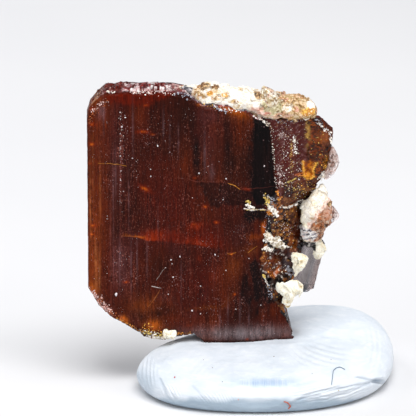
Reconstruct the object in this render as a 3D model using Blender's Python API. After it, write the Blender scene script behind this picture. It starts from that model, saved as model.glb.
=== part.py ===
"""Brookite crystal with quartz, standing in a lump of mounting putty. Blender 4.5, metres, +Z up.

The brookite is a thin upright plate with its striated front face to -Y. Its right side is broken
away, and quartz and pale matrix grow on the top edge and on the break. The origin is at the centre
of the whole object's footprint, at the underside of the putty.
"""

import math

import bmesh
import bpy
from mathutils import Euler, Matrix, Vector, noise

MM = 0.001
GAP = 0.15 * MM  # clearance between two minerals that touch

# The brookite plate: its striated faces are FRONT and BACK, and the outline is seen from -Y.
FRONT = -0.83 * MM
BACK = 1.57 * MM
LEFT = -9.24 * MM
THICKNESS = BACK - FRONT
PLATE_COLUMNS, PLATE_ROWS = 58, 13
PLATE_BOX = ((-9.4 * MM, 5.7 * MM), (1.5 * MM, 18.6 * MM))  # x and z, a little past the outline
SIDE_BEVEL_WIDTH, SIDE_BEVEL_DEPTH = 1.0 * MM, 0.5 * MM
BAND_START, BAND_END, BAND_DEPTH = 0.7 * MM, 2.0 * MM, 0.3 * MM  # the tilted facet before the break
FOOT_TOP, FOOT_CURVE = 3.95 * MM, 100.0  # the front curves in below this height, by FOOT_CURVE * drop^2
STRIATION_CELL, STRIATION_DEPTH = 0.42 * MM, 0.07 * MM
STRIATION_LEAN = 0.12  # how much faster a ridge changes across than up
GROWTH_STEPS = ((-7.3, 0.07), (-6.1, -0.05), (-3.2, 0.06), (-2.0, -0.08), (-0.4, 0.05))  # x, step, in mm

# Outline of the plate, x and z in mm, clockwise from the lower left corner.
OUTLINE = (
    (-9.24, 5.8), (-9.24, 16.7), (-9.1, 17.2), (-8.65, 17.75), (-8.15, 18.2), (-7.6, 18.2),
    (-7.0, 18.35), (-6.1, 18.3), (-5.2, 18.35), (-4.2, 18.3), (-3.4, 18.1), (-2.8, 17.7),
    (-2.4, 17.4), (-0.6, 17.35), (0.3, 16.95), (0.95, 16.5), (1.7, 16.4), (3.6, 16.4),
    (4.6, 16.2), (4.95, 15.8), (5.35, 15.5), (5.35, 15.0), (5.3, 14.5), (5.2, 13.7),
    (5.0, 13.0), (4.5, 12.2), (4.05, 10.8), (3.7, 10.2), (3.65, 9.2), (3.6, 8.2),
    (3.35, 7.5), (3.0, 6.6), (2.6, 5.6), (2.45, 4.7), (2.75, 3.9), (2.95, 3.0),
    (3.15, 2.5), (3.0, 1.8), (-2.1, 1.8), (-2.4, 2.6), (-2.9, 3.0), (-3.7, 2.9),
    (-4.7, 2.63), (-5.4, 2.68), (-5.85, 2.8), (-6.7, 3.45), (-7.7, 4.05), (-8.6, 4.75),
)

# Where the front layer of the plate ends on the right: height, then x, in mm.
FRONT_LAYER_END = (
    (1.0, 3.4), (2.5, 3.15), (3.9, 2.7), (4.7, 2.2), (5.3, 1.9), (6.0, 1.5), (6.7, 1.2),
    (7.5, 1.1), (8.3, 1.2), (9.5, 1.45), (10.3, 1.55), (10.8, 1.4), (11.5, 1.75), (12.0, 2.0),
    (12.4, 2.2), (12.8, 2.1), (14.1, 1.97), (14.9, 1.85), (16.0, 1.65), (16.6, 1.2), (18.6, 0.9),
)
# The top of the plate is etched: pits and short ridges of two sizes round this height.
TOP_HEIGHT, TOP_RISE_BACK = 18.22 * MM, 0.02
TOP_RIDGE, TOP_RIDGE_CELL = 0.16 * MM, 0.55 * MM
TOP_PIT, TOP_PIT_CELL = 0.12 * MM, 1.3 * MM
# Right of the front layer: above SHELF_BOTTOM a flat recessed shelf, below it a ragged slope to the back.
SHELF_BOTTOM, SHELF_DEPTH, SHELF_FALL = 12.15 * MM, 0.55 * MM, 0.10
SHELF_RIDGE, SHELF_RIDGE_CELL, SHELF_EDGE, SHELF_EDGE_CELL = 0.10 * MM, 0.5 * MM, 0.06 * MM, 0.25 * MM
SLOPE_FAR = 4.4 * MM  # x where the slope would meet the back
SLOPE_CURVE, SLOPE_FLAT_BACK = 0.8, 0.4 * MM
SLOPE_LUMP, SLOPE_LUMP_CELL, SLOPE_CHIP, SLOPE_CHIP_CELL = 0.34 * MM, 1.1 * MM, 0.16 * MM, 0.5 * MM
# The cutters are blocks that reach past the plate: x, y and z ranges.
CUT_X, CUT_Y, CUT_Z = (-9.8 * MM, 6.6 * MM), (-1.8 * MM, 2.6 * MM), (0.8 * MM, 19.0 * MM)
CUT_TOP, CUT_RIGHT, CUT_FRONT = 20 * MM, 8 * MM, -3 * MM

# Matrix: how much the section is stretched in y, segments round it, rings along it, and the path as
# rows of x, y, z and radius in mm.
MATRIX_PATHS = {
    "matrix_crust_top": (1.35, 18, 34, (
        (-3.75, 0.4, 18.25, 0.25), (-3.0, 0.4, 17.95, 0.5), (-2.2, 0.4, 17.72, 0.76),
        (-1.0, 0.45, 17.58, 0.82), (0.2, 0.45, 17.38, 0.82), (1.2, 0.5, 17.1, 0.82),
        (2.2, 0.6, 16.98, 0.8), (3.2, 0.6, 16.92, 0.78), (3.9, 0.6, 16.8, 0.74),
        (4.45, 0.55, 16.55, 0.64))),
    "matrix_side": (1.05, 16, 22, (
        (4.88, 0.5, 12.22, 0.24), (4.78, 0.5, 11.6, 0.56), (4.68, 0.5, 10.95, 0.86), (4.52, 0.5, 10.4, 0.94),
        (4.38, 0.5, 9.8, 0.78), (4.34, 0.55, 9.2, 0.64), (4.42, 0.65, 8.75, 0.46))),
    "matrix_lump_middle": (1.1, 12, 10, (
        (3.5, -0.1, 7.9, 0.30), (3.45, -0.1, 7.4, 0.42), (3.3, -0.1, 6.9, 0.40),
        (3.15, -0.1, 6.55, 0.28))),
    "matrix_lump_low": (0.85, 14, 12, (
        (2.1, -0.5, 6.0, 0.35), (2.45, -0.5, 5.95, 0.50), (2.9, -0.5, 5.8, 0.62),
        (3.3, -0.45, 5.75, 0.60), (3.7, -0.4, 5.9, 0.40))),
    "matrix_lump_tip": (0.9, 12, 10, (
        (2.6, -0.6, 5.3, 0.30), (2.7, -0.6, 5.0, 0.30), (2.8, -0.6, 4.72, 0.18))),
    "matrix_lump_edge": (1.0, 12, 10, (
        (4.62, 0.45, 8.6, 0.22), (4.62, 0.45, 8.05, 0.34), (4.58, 0.45, 7.48, 0.28))),
    "matrix_wedge": (0.9, 12, 10, (
        (1.45, -0.5, 9.35, 0.20), (1.95, -0.45, 8.95, 0.30), (2.5, -0.4, 8.45, 0.18))),
    "matrix_crumb_foot": (1.0, 12, 10, (
        (-4.75, -0.75, 3.05, 0.20), (-4.35, -0.85, 3.15, 0.30), (-3.95, -0.8, 3.25, 0.26))),
}
MATRIX_CELL, MATRIX_ROUGHNESS = 0.75 * MM, 0.24  # size of its lumps, and their height as a share of radius
MATRIX_FULLNESS = 0.45  # below 1 the ends of a lump are blunter than a sphere's

# Quartz crystals: centre (mm), radius and length (mm), tilt (degrees about x, y, z), tip height share.
QUARTZ = {
    "quartz_crystal_top": ((1.5, 0.0, 17.5), 0.72, 1.4, (14, -14, 20), 0.35),
    "quartz_rim_right": ((5.33, 0.4, 13.45), 0.44, 2.0, (0, 10, 12), 0.30),
    "quartz_point_right": ((5.15, 0.7, 10.25), 0.42, 1.15, (0, 104, 0), 0.45),
    "quartz_prism_right": ((4.1, 1.35, 7.0), 0.80, 3.2, (0, 187, 10), 0.30),
}
QUARTZ_FOOT, QUARTZ_LEAN, QUARTZ_CHISEL = 0.86, 0.1, (0.25, 0.15)  # foot and lean by radius, size of the tip
QUARTZ_HOSTS = {  # the matrix that a crystal grows out of
    "quartz_crystal_top": "matrix_crust_top",
    "quartz_point_right": "matrix_side",
    "quartz_prism_right": "matrix_lump_edge",
}

# The putty is a rounded lump. Its plan, x and y in mm, runs round from the left end past the front.
PUTTY_PLAN = (
    (-6.45, -1.4), (-6.25, -2.9), (-5.6, -4.3), (-3.9, -5.8), (-1.3, -6.55), (1.4, -6.7),
    (4.3, -6.25), (5.9, -5.5), (7.8, -3.9), (8.9, -1.7), (9.24, 1.3), (9.0, 3.4),
    (8.5, 5.7), (6.6, 6.75), (4.8, 6.8), (3.3, 6.4), (1.5, 5.7), (-1.0, 4.1),
    (-3.6, 1.6), (-5.3, 0.7), (-6.2, -0.3),
)
PUTTY_MIDDLE = (1.4, 0.0)  # mm; every point of the plan is seen from here
PUTTY_BOX = ((-6.45 * MM, 9.24 * MM), (-6.68 * MM, 6.68 * MM))
PUTTY_RINGS, PUTTY_SEGMENTS = 18, 44
# Side profile of the putty, from the middle of its top to the middle of its flat base: share of the
# plan radius, then share of the height.
PUTTY_PROFILE = (
    (0.0, 1.0), (0.3, 1.0), (0.55, 0.99), (0.74, 0.95), (0.87, 0.85), (0.955, 0.67), (1.0, 0.44),
    (0.99, 0.22), (0.955, 0.07), (0.91, 0.0), (0.0, 0.0),
)
PUTTY_HEIGHT, PUTTY_SLOPE = 2.65 * MM, (0.035, 0.075)  # height above the origin, and its rise along x and y
PUTTY_CORNER = 0.07  # angle in radians between the five readings that ease a corner of the plan
PUTTY_DENT, PUTTY_DENT_CELL = 0.16 * MM, 2.4 * MM
PUTTY_SWELL, PUTTY_SWELL_AT, PUTTY_SWELL_REACH = 0.3 * MM, (-4.6 * MM, -2.6 * MM), 2.4 * MM

COLOURS = {  # base colour, roughness, transmission
    "brookite": ((0.16, 0.03, 0.015), 0.22, 0.35),
    "matrix": ((0.78, 0.70, 0.55), 0.85, 0.0),
    "quartz": ((0.80, 0.78, 0.76), 0.08, 0.85),
    "putty": ((0.76, 0.83, 0.88), 0.60, 0.0),
}


def clear_scene():
    for obj in list(bpy.data.objects):
        bpy.data.objects.remove(obj)


def make_collection(name):
    collection = bpy.data.collections.new(name)
    bpy.context.scene.collection.children.link(collection)
    return collection


def make_material(name):
    colour, roughness, transmission = COLOURS[name]
    material = bpy.data.materials.new(name)
    material.use_nodes = True
    shader = material.node_tree.nodes["Principled BSDF"]
    shader.inputs["Base Color"].default_value = (*colour, 1.0)
    shader.inputs["Roughness"].default_value = roughness
    shader.inputs["Metallic"].default_value = 0.0
    shader.inputs["Transmission Weight"].default_value = transmission
    return material


def object_from(bm, name, collection, material=None):
    mesh = bpy.data.meshes.new(name)
    bm.to_mesh(mesh)
    bm.free()
    obj = bpy.data.objects.new(name, mesh)
    collection.objects.link(obj)
    if material:
        mesh.materials.append(material)
    return obj


def as_helper(obj):
    obj.hide_render = True
    obj.display_type = "WIRE"
    return obj


def lerp(ends, share):
    return ends[0] + (ends[1] - ends[0]) * share


def between(table, at):
    """The value at a place in a table of (place, value) rows, read along straight lines."""
    if at <= table[0][0]:
        return table[0][1]
    for (low, first), (high, second) in zip(table, table[1:]):
        if at <= high:
            return lerp((first, second), (at - low) / (high - low))
    return table[-1][1]


def ripple(place, cell, seed):
    """Smooth noise from -1 to 1 with features the size of cell."""
    return noise.noise(place / cell + Vector((seed * 7.3, seed * 3.1, seed * 5.7)))


def rough_block(name, collection, surface, push, across, along):
    """A closed block: a grid bent to surface(s, t), s and t from 0 to 1, and its copy moved by push."""
    bm = bmesh.new()
    bmesh.ops.create_grid(bm, x_segments=across, y_segments=along, size=0.5)
    for vert in bm.verts:
        vert.co = surface(vert.co.x + 0.5, vert.co.y + 0.5)
    made = bmesh.ops.extrude_face_region(bm, geom=bm.faces[:])
    for item in made["geom"]:
        if isinstance(item, bmesh.types.BMVert):
            item.co = push(item.co)
    bmesh.ops.recalc_face_normals(bm, faces=bm.faces[:])
    return object_from(bm, name, collection)


def add_boolean(obj, other, operation):
    modifier = obj.modifiers.new(f"{operation.lower()} {other.name}", "BOOLEAN")
    modifier.operation = operation
    modifier.solver = "EXACT"
    modifier.object = other


# --- the brookite plate ---------------------------------------------------------------------------


def layer_end(z):
    """x where the front layer of the plate is broken off at height z."""
    return between(FRONT_LAYER_END, z / MM) * MM


def face_relief(x, z, seed):
    """How far a striated face lies inside its plane: upright ridges, growth steps and the side bevel."""
    depth = STRIATION_DEPTH * (1 + ripple(Vector((x, STRIATION_LEAN * z, 0.0)), STRIATION_CELL, seed))
    depth += sum(height * MM for start, height in GROWTH_STEPS if x > start * MM)
    bevel = (LEFT + SIDE_BEVEL_WIDTH - x) / SIDE_BEVEL_WIDTH
    return depth + SIDE_BEVEL_DEPTH * max(0.0, bevel)


def front_surface(s, t):
    x, z = lerp(PLATE_BOX[0], s), lerp(PLATE_BOX[1], t)
    band = min(1.0, max(0.0, (x - BAND_START) / (BAND_END - BAND_START)))
    drop = max(0.0, FOOT_TOP - z)
    y = FRONT + face_relief(x, z, 1) + BAND_DEPTH * band + FOOT_CURVE * drop * drop
    return Vector((x, y, z))


def back_of(place):
    return Vector((place.x, BACK - face_relief(place.x, place.z, 2), place.z))


def outward(index, grow):
    """One corner of the outline, in metres, moved out of it by grow along the mean of its two sides."""
    before, here, after = (Vector(OUTLINE[(index + step) % len(OUTLINE)]) * MM for step in (-1, 0, 1))
    along = (here - before).normalized() + (after - here).normalized()
    return here + Vector((-along.y, along.x)).normalized() * grow


def outline_prism(name, grow, collection):
    """The plate's outline as a filled curve, extruded past both faces, made a mesh."""
    curve = bpy.data.curves.new(name, "CURVE")
    curve.dimensions = "2D"
    curve.fill_mode = "BOTH"
    curve.extrude = THICKNESS
    spline = curve.splines.new("POLY")
    spline.points.add(len(OUTLINE) - 1)
    for index, point in enumerate(spline.points):
        point.co = (*outward(index, grow), 0.0, 1.0)
    spline.use_cyclic_u = True
    flat = bpy.data.objects.new(name + "_curve", curve)
    bpy.context.scene.collection.objects.link(flat)
    flat.rotation_euler = Euler((math.radians(90), 0, 0))
    flat.location.y = (FRONT + BACK) / 2
    bpy.context.view_layer.update()
    mesh = bpy.data.meshes.new_from_object(flat.evaluated_get(bpy.context.evaluated_depsgraph_get()))
    bm = bmesh.new()
    bm.from_mesh(mesh)
    bmesh.ops.remove_doubles(bm, verts=bm.verts[:], dist=0.001 * MM)
    bmesh.ops.transform(bm, matrix=flat.matrix_world, verts=bm.verts[:])
    bmesh.ops.recalc_face_normals(bm, faces=bm.faces[:])
    bpy.data.meshes.remove(mesh)
    bpy.data.objects.remove(flat)
    return object_from(bm, name, collection)


def top_surface(s, t):
    """The etched top of the plate: short ridges and pits."""
    place = Vector((lerp(CUT_X, s), lerp(CUT_Y, t), 0.0))
    z = TOP_HEIGHT + TOP_RISE_BACK * place.y + TOP_RIDGE * ripple(place, TOP_RIDGE_CELL, 3)
    return Vector((place.x, place.y, z - TOP_PIT * abs(ripple(place, TOP_PIT_CELL, 4))))


def slope_surface(s, t):
    """The ragged break below the shelf, from the end of the front layer to the outline at the back."""
    place = Vector((0.0, lerp(CUT_Y, s), lerp((CUT_Z[0], SHELF_BOTTOM + 0.1 * MM), t)))
    share = min(1.0, max(0.0, (place.y - FRONT) / (THICKNESS - SLOPE_FLAT_BACK)))
    x = lerp((layer_end(place.z), SLOPE_FAR), share ** SLOPE_CURVE)
    x += SLOPE_LUMP * ripple(place, SLOPE_LUMP_CELL, 5) + SLOPE_CHIP * ripple(place, SLOPE_CHIP_CELL, 6)
    return Vector((x, place.y, place.z))


def shelf_surface(s, t):
    """The flat recessed shelf above the slope, right of the broken end of the front layer."""
    z = lerp((SHELF_BOTTOM, CUT_Z[1]), t)
    start = layer_end(z) + SHELF_EDGE * ripple(Vector((0.0, 0.0, z)), SHELF_EDGE_CELL, 7)
    x = lerp((start, CUT_X[1]), s)
    ridges = SHELF_RIDGE * ripple(Vector((x, 0.0, STRIATION_LEAN * z)), SHELF_RIDGE_CELL, 8)
    return Vector((x, FRONT + SHELF_DEPTH + ridges + SHELF_FALL * (x - start), z))


def make_plate(name, grow, collection, cutters):
    """The plate with every face moved outwards by grow."""
    front = Vector((0.0, grow, 0.0))
    plate = rough_block(
        name, collection, lambda s, t: front_surface(s, t) - front, lambda p: back_of(p + front) + front,
        PLATE_COLUMNS, PLATE_ROWS,
    )
    add_boolean(plate, as_helper(outline_prism(name + "_outline", grow, cutters)), "INTERSECT")
    surfaces = (
        ("top", top_surface, Vector((0, 0, grow)), lambda p: Vector((p.x, p.y, CUT_TOP)), 34, 8),
        ("slope", slope_surface, Vector((grow, 0, 0)), lambda p: Vector((CUT_RIGHT, p.y, p.z)), 8, 22),
        ("shelf", shelf_surface, Vector((grow, -grow, 0)), lambda p: Vector((p.x, CUT_FRONT, p.z)), 12, 8),
    )
    for part, surface, move, push, across, along in surfaces:
        cutter = rough_block(
            f"{name}_{part}", cutters, lambda s, t, f=surface, m=move: f(s, t) + m, push, across, along
        )
        add_boolean(plate, as_helper(cutter), "DIFFERENCE")
    return plate


# --- matrix, quartz and putty ---------------------------------------------------------------------


def column_of(rows, column):
    """A table for between(): the share of the way down the rows, and the value in one column."""
    return [(index / (len(rows) - 1), row[column]) for index, row in enumerate(rows)]


def make_matrix(name, stretch, segments, rings, path, seed, parts, material):
    """A rough lump: a sphere drawn out along the path, with its poles at the path's ends."""
    tables = [column_of(path, column) for column in range(4)]
    axis = (Vector(path[0][:3]) - Vector(path[-1][:3])).normalized()
    side = axis.orthogonal().normalized()
    other = axis.cross(side)
    bm = bmesh.new()
    bmesh.ops.create_uvsphere(bm, u_segments=segments, v_segments=rings, radius=1.0)
    for vert in bm.verts:
        share = (1 - vert.co.z) / 2
        centre = Vector([between(table, share) for table in tables[:3]]) * MM
        around = side * vert.co.x + other * vert.co.y
        around *= max(around.length, 1e-9) ** (MATRIX_FULLNESS - 1)
        around.y *= stretch
        radius = between(tables[3], share) * MM
        place = centre + around * radius
        swell = ripple(place, MATRIX_CELL, seed) + 0.5 * ripple(place, MATRIX_CELL / 2, seed + 9)
        vert.co = centre + around * radius * (1 + MATRIX_ROUGHNESS * swell)
    return object_from(bm, name, parts, material)


def make_quartz(name, centre, radius, length, tilt, tip, parts, material=None):
    """A six-sided prism with a blunt pyramid at one end."""
    bm = bmesh.new()
    body = length * (1 - tip) * MM
    bmesh.ops.create_cone(
        bm, cap_ends=True, segments=6, radius1=QUARTZ_FOOT * radius * MM, radius2=radius * MM, depth=body
    )
    end = max(bm.faces, key=lambda face: face.calc_center_median().z)
    made = bmesh.ops.extrude_discrete_faces(bm, faces=[end])
    peak = made["faces"][0]
    bmesh.ops.translate(bm, verts=peak.verts[:], vec=(QUARTZ_LEAN * radius * MM, 0.0, length * tip * MM))
    middle = peak.calc_center_median()
    bmesh.ops.scale(bm, verts=peak.verts[:], vec=(*QUARTZ_CHISEL, 1.0), space=Matrix.Translation(-middle))
    angles = Euler([math.radians(angle) for angle in tilt])
    place = Matrix.Translation(Vector(centre) * MM) @ angles.to_matrix().to_4x4()
    bmesh.ops.transform(bm, matrix=place, verts=bm.verts[:])
    bmesh.ops.recalc_face_normals(bm, faces=bm.faces[:])
    return object_from(bm, name, parts, material)


def plan_reach(turn):
    """Distance from the middle of the putty to its plan outline in one direction, with its corners eased."""
    around = sorted((math.atan2(y - PUTTY_MIDDLE[1], x - PUTTY_MIDDLE[0]),
                     math.hypot(x - PUTTY_MIDDLE[0], y - PUTTY_MIDDLE[1])) for x, y in PUTTY_PLAN)
    first, last = around[0], around[-1]
    table = [(last[0] - math.tau, last[1]), *around, (first[0] + math.tau, first[1])]
    near = [turn + step * PUTTY_CORNER for step in (-2, -1, 0, 1, 2)]
    return sum(between(table, math.remainder(angle, math.tau)) for angle in near) / len(near) * MM


def putty_place(turn, along):
    """A point of the putty: its side profile at share along, carried round the plan."""
    share = between(column_of(PUTTY_PROFILE, 0), along)
    rise = between(column_of(PUTTY_PROFILE, 1), along)
    reach = plan_reach(turn) * share
    x = PUTTY_MIDDLE[0] * MM + reach * math.cos(turn)
    y = PUTTY_MIDDLE[1] * MM + reach * math.sin(turn)
    away = math.hypot(x - PUTTY_SWELL_AT[0], y - PUTTY_SWELL_AT[1]) / PUTTY_SWELL_REACH
    height = PUTTY_HEIGHT + PUTTY_SLOPE[0] * x + PUTTY_SLOPE[1] * y + PUTTY_SWELL * math.exp(-away * away)
    z = rise * height
    top = max(0.0, rise - 0.5) * PUTTY_DENT * ripple(Vector((x, y, z)), PUTTY_DENT_CELL, 12)
    return Vector((x, y, z + top))


def make_putty(parts, material):
    bm = bmesh.new()
    bmesh.ops.create_uvsphere(bm, u_segments=PUTTY_SEGMENTS, v_segments=PUTTY_RINGS, radius=1.0)
    for vert in bm.verts:
        turn = math.atan2(vert.co.y, vert.co.x)
        along = math.acos(max(-1.0, min(1.0, vert.co.z))) / math.pi
        vert.co = putty_place(turn, along)
    for axis, (low, high) in enumerate(PUTTY_BOX):
        lowest = min(vert.co[axis] for vert in bm.verts)
        highest = max(vert.co[axis] for vert in bm.verts)
        for vert in bm.verts:
            vert.co[axis] = low + (high - low) * (vert.co[axis] - lowest) / (highest - lowest)
    bmesh.ops.recalc_face_normals(bm, faces=bm.faces[:])
    return object_from(bm, "mounting_putty", parts, material)


def main():
    clear_scene()
    parts = make_collection("Brookite crystal with quartz")
    cutters = make_collection("Cutters")
    materials = {name: make_material(name) for name in COLOURS}
    make_plate("brookite_crystal", 0.0, parts, cutters).data.materials.append(materials["brookite"])
    clearance = as_helper(make_plate("plate_clearance", GAP, cutters, cutters))
    neighbours = [make_putty(parts, materials["putty"])]
    for seed, (name, values) in enumerate(MATRIX_PATHS.items()):
        neighbours.append(make_matrix(name, *values, 20 + seed, parts, materials["matrix"]))
    for name, values in QUARTZ.items():
        crystal = make_quartz(name, *values, parts, materials["quartz"])
        neighbours.append(crystal)
        if name in QUARTZ_HOSTS:
            centre, radius, length, tilt, tip = values
            room = GAP / MM
            wide = make_quartz(name + "_room", centre, radius + room, length + 2 * room, tilt, tip, cutters)
            add_boolean(bpy.data.objects[QUARTZ_HOSTS[name]], as_helper(wide), "DIFFERENCE")
    for obj in neighbours:
        add_boolean(obj, clearance, "DIFFERENCE")


main()
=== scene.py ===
"""Brookite crystal with quartz, standing in mounting putty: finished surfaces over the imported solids.

Shapes are worked out in millimetres and stored in metres. x runs along the crystal plate, y away
from its striated front and z up.
"""

import itertools
import math

import bpy
import numpy as np
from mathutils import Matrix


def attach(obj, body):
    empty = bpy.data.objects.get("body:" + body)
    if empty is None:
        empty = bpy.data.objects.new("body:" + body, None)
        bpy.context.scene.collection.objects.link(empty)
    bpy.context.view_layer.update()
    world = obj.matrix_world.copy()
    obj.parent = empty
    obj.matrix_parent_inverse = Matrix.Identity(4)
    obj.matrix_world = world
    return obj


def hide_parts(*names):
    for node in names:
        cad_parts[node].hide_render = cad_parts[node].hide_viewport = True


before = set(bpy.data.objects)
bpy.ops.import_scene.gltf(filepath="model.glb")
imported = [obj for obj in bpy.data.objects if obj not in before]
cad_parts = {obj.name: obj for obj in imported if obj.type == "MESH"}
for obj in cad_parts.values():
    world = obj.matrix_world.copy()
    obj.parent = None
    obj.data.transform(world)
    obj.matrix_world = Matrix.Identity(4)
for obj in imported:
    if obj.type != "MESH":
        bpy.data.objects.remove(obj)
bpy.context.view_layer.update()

MM = 0.001

# --- the camera's frame ---------------------------------------------------------------------------

IMAGE_SIDE = 416
MM_PER_PIXEL = 0.06
ORIGIN_PIXEL = (242.0, 380.4)
CAMERA_TILT = math.radians(17)
CAMERA_DISTANCE = 260.0
SENSOR = 36.0

# --- the brookite plate, in mm, as in the solid ----------------------------------------------------

FRONT, BACK, LEFT = -0.83, 1.57, -9.24
THICKNESS = BACK - FRONT
SIDE_BEVEL_WIDTH, SIDE_BEVEL_DEPTH = 1.0, 0.5
BAND_START, BAND_END, BAND_DEPTH = 0.7, 2.0, 0.3
FOOT_TOP, FOOT_CURVE = 3.95, 0.10
GROWTH_STEPS = ((-7.3, 0.07), (-6.1, -0.05), (-3.2, 0.06), (-2.0, -0.08), (-0.4, 0.05))
LOWER_EDGE = (  # x, z from the lower left corner to the foot
    (-9.24, 5.8), (-8.6, 4.75), (-7.7, 4.05), (-6.7, 3.45), (-5.85, 2.8), (-5.4, 2.68),
    (-4.7, 2.63), (-3.7, 2.9), (-2.9, 3.0), (-2.4, 2.6), (-2.1, 1.8), (3.0, 1.8))
UPPER_EDGE = (  # x, z from the upper left corner to the upper right corner
    (-9.24, 16.7), (-9.1, 17.2), (-8.65, 17.75), (-8.15, 18.2), (-7.6, 18.2), (-7.0, 18.3),
    (-6.1, 18.25), (-5.2, 18.3), (-4.2, 18.25), (-3.4, 18.1), (-2.8, 17.7), (-2.4, 17.4),
    (-0.6, 17.35), (0.3, 16.95), (0.95, 16.5), (1.7, 16.4), (3.6, 16.4), (4.6, 16.2),
    (4.95, 15.8), (5.35, 15.5))
RIGHT_EDGE = (  # z, x up the broken right side
    (1.8, 3.0), (2.5, 3.15), (3.0, 2.95), (3.9, 2.75), (4.7, 2.45), (5.6, 2.75), (6.6, 3.25),
    (7.5, 3.48), (8.2, 3.65), (9.2, 3.65), (10.2, 3.7), (10.8, 4.05), (12.2, 4.5), (13.0, 5.05),
    (13.7, 5.25), (14.5, 5.32), (15.0, 5.35), (15.5, 5.35))
FRONT_LAYER_END = (  # z, x where the front layer is broken off
    (1.0, 3.4), (2.5, 3.15), (3.9, 2.7), (4.7, 2.2), (5.3, 1.9), (6.0, 1.5), (6.7, 1.2),
    (7.5, 1.1), (8.3, 1.2), (9.5, 1.45), (10.3, 1.55), (10.8, 1.4), (11.5, 1.75), (12.0, 2.0),
    (12.4, 2.2), (12.8, 2.1), (14.1, 1.97), (14.9, 1.85), (16.0, 1.65), (16.6, 1.2), (18.6, 0.9))
SHELF_BOTTOM, SHELF_DEPTH, SHELF_FALL = 12.25, 0.55, 0.10
SLOPE_FAR, SLOPE_CURVE, SLOPE_FLAT_BACK = 4.4, 0.8, 0.4
STRAIGHT_COLUMNS_END = 0.4  # left of this x the mesh columns are upright; right of it they fan out

# --- random fields --------------------------------------------------------------------------------


def hashed(i, j, k, seed):
    """A repeatable number from 0 to 1 for each whole-number place: products with odd constants, mixed."""
    n = i * 374761393 + j * 668265263 + k * 1442695041 + np.int64(seed) * 974634777
    n = (n ^ (n >> 13)) * 1274126177
    return ((n ^ (n >> 16)) & 0xFFFFF) / float(0xFFFFF)


def noise(x, y, z, cell, seed):
    """Values from -1 to 1: random corner values a cell apart, eased by 3t^2 - 2t^3 between corners."""
    places = np.broadcast_arrays(x / cell, y / cell, z / cell)
    low = [np.floor(place).astype(np.int64) for place in places]
    ease = [(place - base) ** 2 * (3 - 2 * (place - base)) for place, base in zip(places, low)]
    total = 0.0
    for corner in itertools.product((0, 1), repeat=3):
        weight = 1.0
        for step, share in zip(corner, ease):
            weight = weight * (share if step else 1 - share)
        total = total + weight * hashed(low[0] + corner[0], low[1] + corner[1], low[2] + corner[2], seed)
    return 2 * total - 1


def octaves(x, y, z, cell, seed, count=3):
    """Noise of halving cell and halving height, added up and scaled back to about -1 to 1."""
    total = sum(noise(x, y, z, cell / 2**n, seed + n) / 2**n for n in range(count))
    return total / (2 - 2.0 ** (1 - count))


def spot(x, z, centre, radii, turn=0.0):
    """A soft spot, 1 at its centre: exp(-(u/ru)^2 - (v/rv)^2) in axes turned by turn degrees."""
    c, s = math.cos(math.radians(turn)), math.sin(math.radians(turn))
    dx, dz = x - centre[0], z - centre[1]
    u, v = dx * c + dz * s, dz * c - dx * s
    return np.exp(-((u / radii[0]) ** 2) - (v / radii[1]) ** 2)


def off_route(x, z, route):
    """Distance from each point to the nearest straight stretch between the points of a route."""
    nearest = np.full(np.shape(x), 1e9)
    for (x0, z0), (x1, z1) in zip(route, route[1:]):
        length = (x1 - x0) ** 2 + (z1 - z0) ** 2
        share = np.clip(((x - x0) * (x1 - x0) + (z - z0) * (z1 - z0)) / length, 0, 1)
        nearest = np.minimum(nearest, (x - x0 - share * (x1 - x0)) ** 2 + (z - z0 - share * (z1 - z0)) ** 2)
    return np.sqrt(nearest)


def stroke(x, z, route, width):
    """A soft line along a route: exp(-(distance / width)^2)."""
    return np.exp(-((off_route(x, z, route) / width) ** 2))


def within(x, z, outline, softness):
    """1 well inside a closed outline and 0 well outside it, eased over the softness of its edge.

    A point is inside where an odd number of the outline's sides lie to its right.
    """
    inside = np.zeros(np.shape(x), bool)
    closed = (*outline, outline[0])
    for (x0, z0), (x1, z1) in zip(closed, closed[1:]):
        if z0 != z1:
            inside ^= ((z0 > z) != (z1 > z)) & (x < x0 + (z - z0) / (z1 - z0) * (x1 - x0))
    return ramp(np.where(inside, 1, -1) * off_route(x, z, closed), -softness, softness)


def ramp(value, low, high):
    """0 below low, 1 above high, eased between them."""
    share = np.clip((value - low) / (high - low), 0, 1)
    return share * share * (3 - 2 * share)


def read(table, at):
    """The second column of a table read along straight lines at places in its first column."""
    return np.interp(at, [row[0] for row in table], [row[1] for row in table])


# --- meshes ---------------------------------------------------------------------------------------


def grid_quads(rows, columns, around):
    """Corner numbers of the quads of a rows x columns grid of points; around joins the last column to the first."""
    i, j = np.meshgrid(np.arange(rows - 1), np.arange(columns if around else columns - 1), indexing="ij")
    k = (j + 1) % columns
    return np.stack([i * columns + j, i * columns + k, (i + 1) * columns + k, (i + 1) * columns + j], -1).reshape(-1, 4)


def closed_tube(points):
    """Points and faces of rings (rings x ring points x 3), with a fan of triangles over each end ring."""
    rings, around = points.shape[:2]
    flat = points.reshape(-1, 3)
    ends = np.stack([points[0].mean(0), points[-1].mean(0)])
    ring = np.arange(around)
    after = np.roll(ring, -1)
    first, last = rings * around, rings * around + 1
    start = np.stack([after, ring, np.full(around, first)], -1)
    stop = np.stack([ring, after, np.full(around, last)], -1) + [(rings - 1) * around, (rings - 1) * around, 0]
    return np.concatenate([flat, ends]), [grid_quads(rings, around, True), start, stop]


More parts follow.
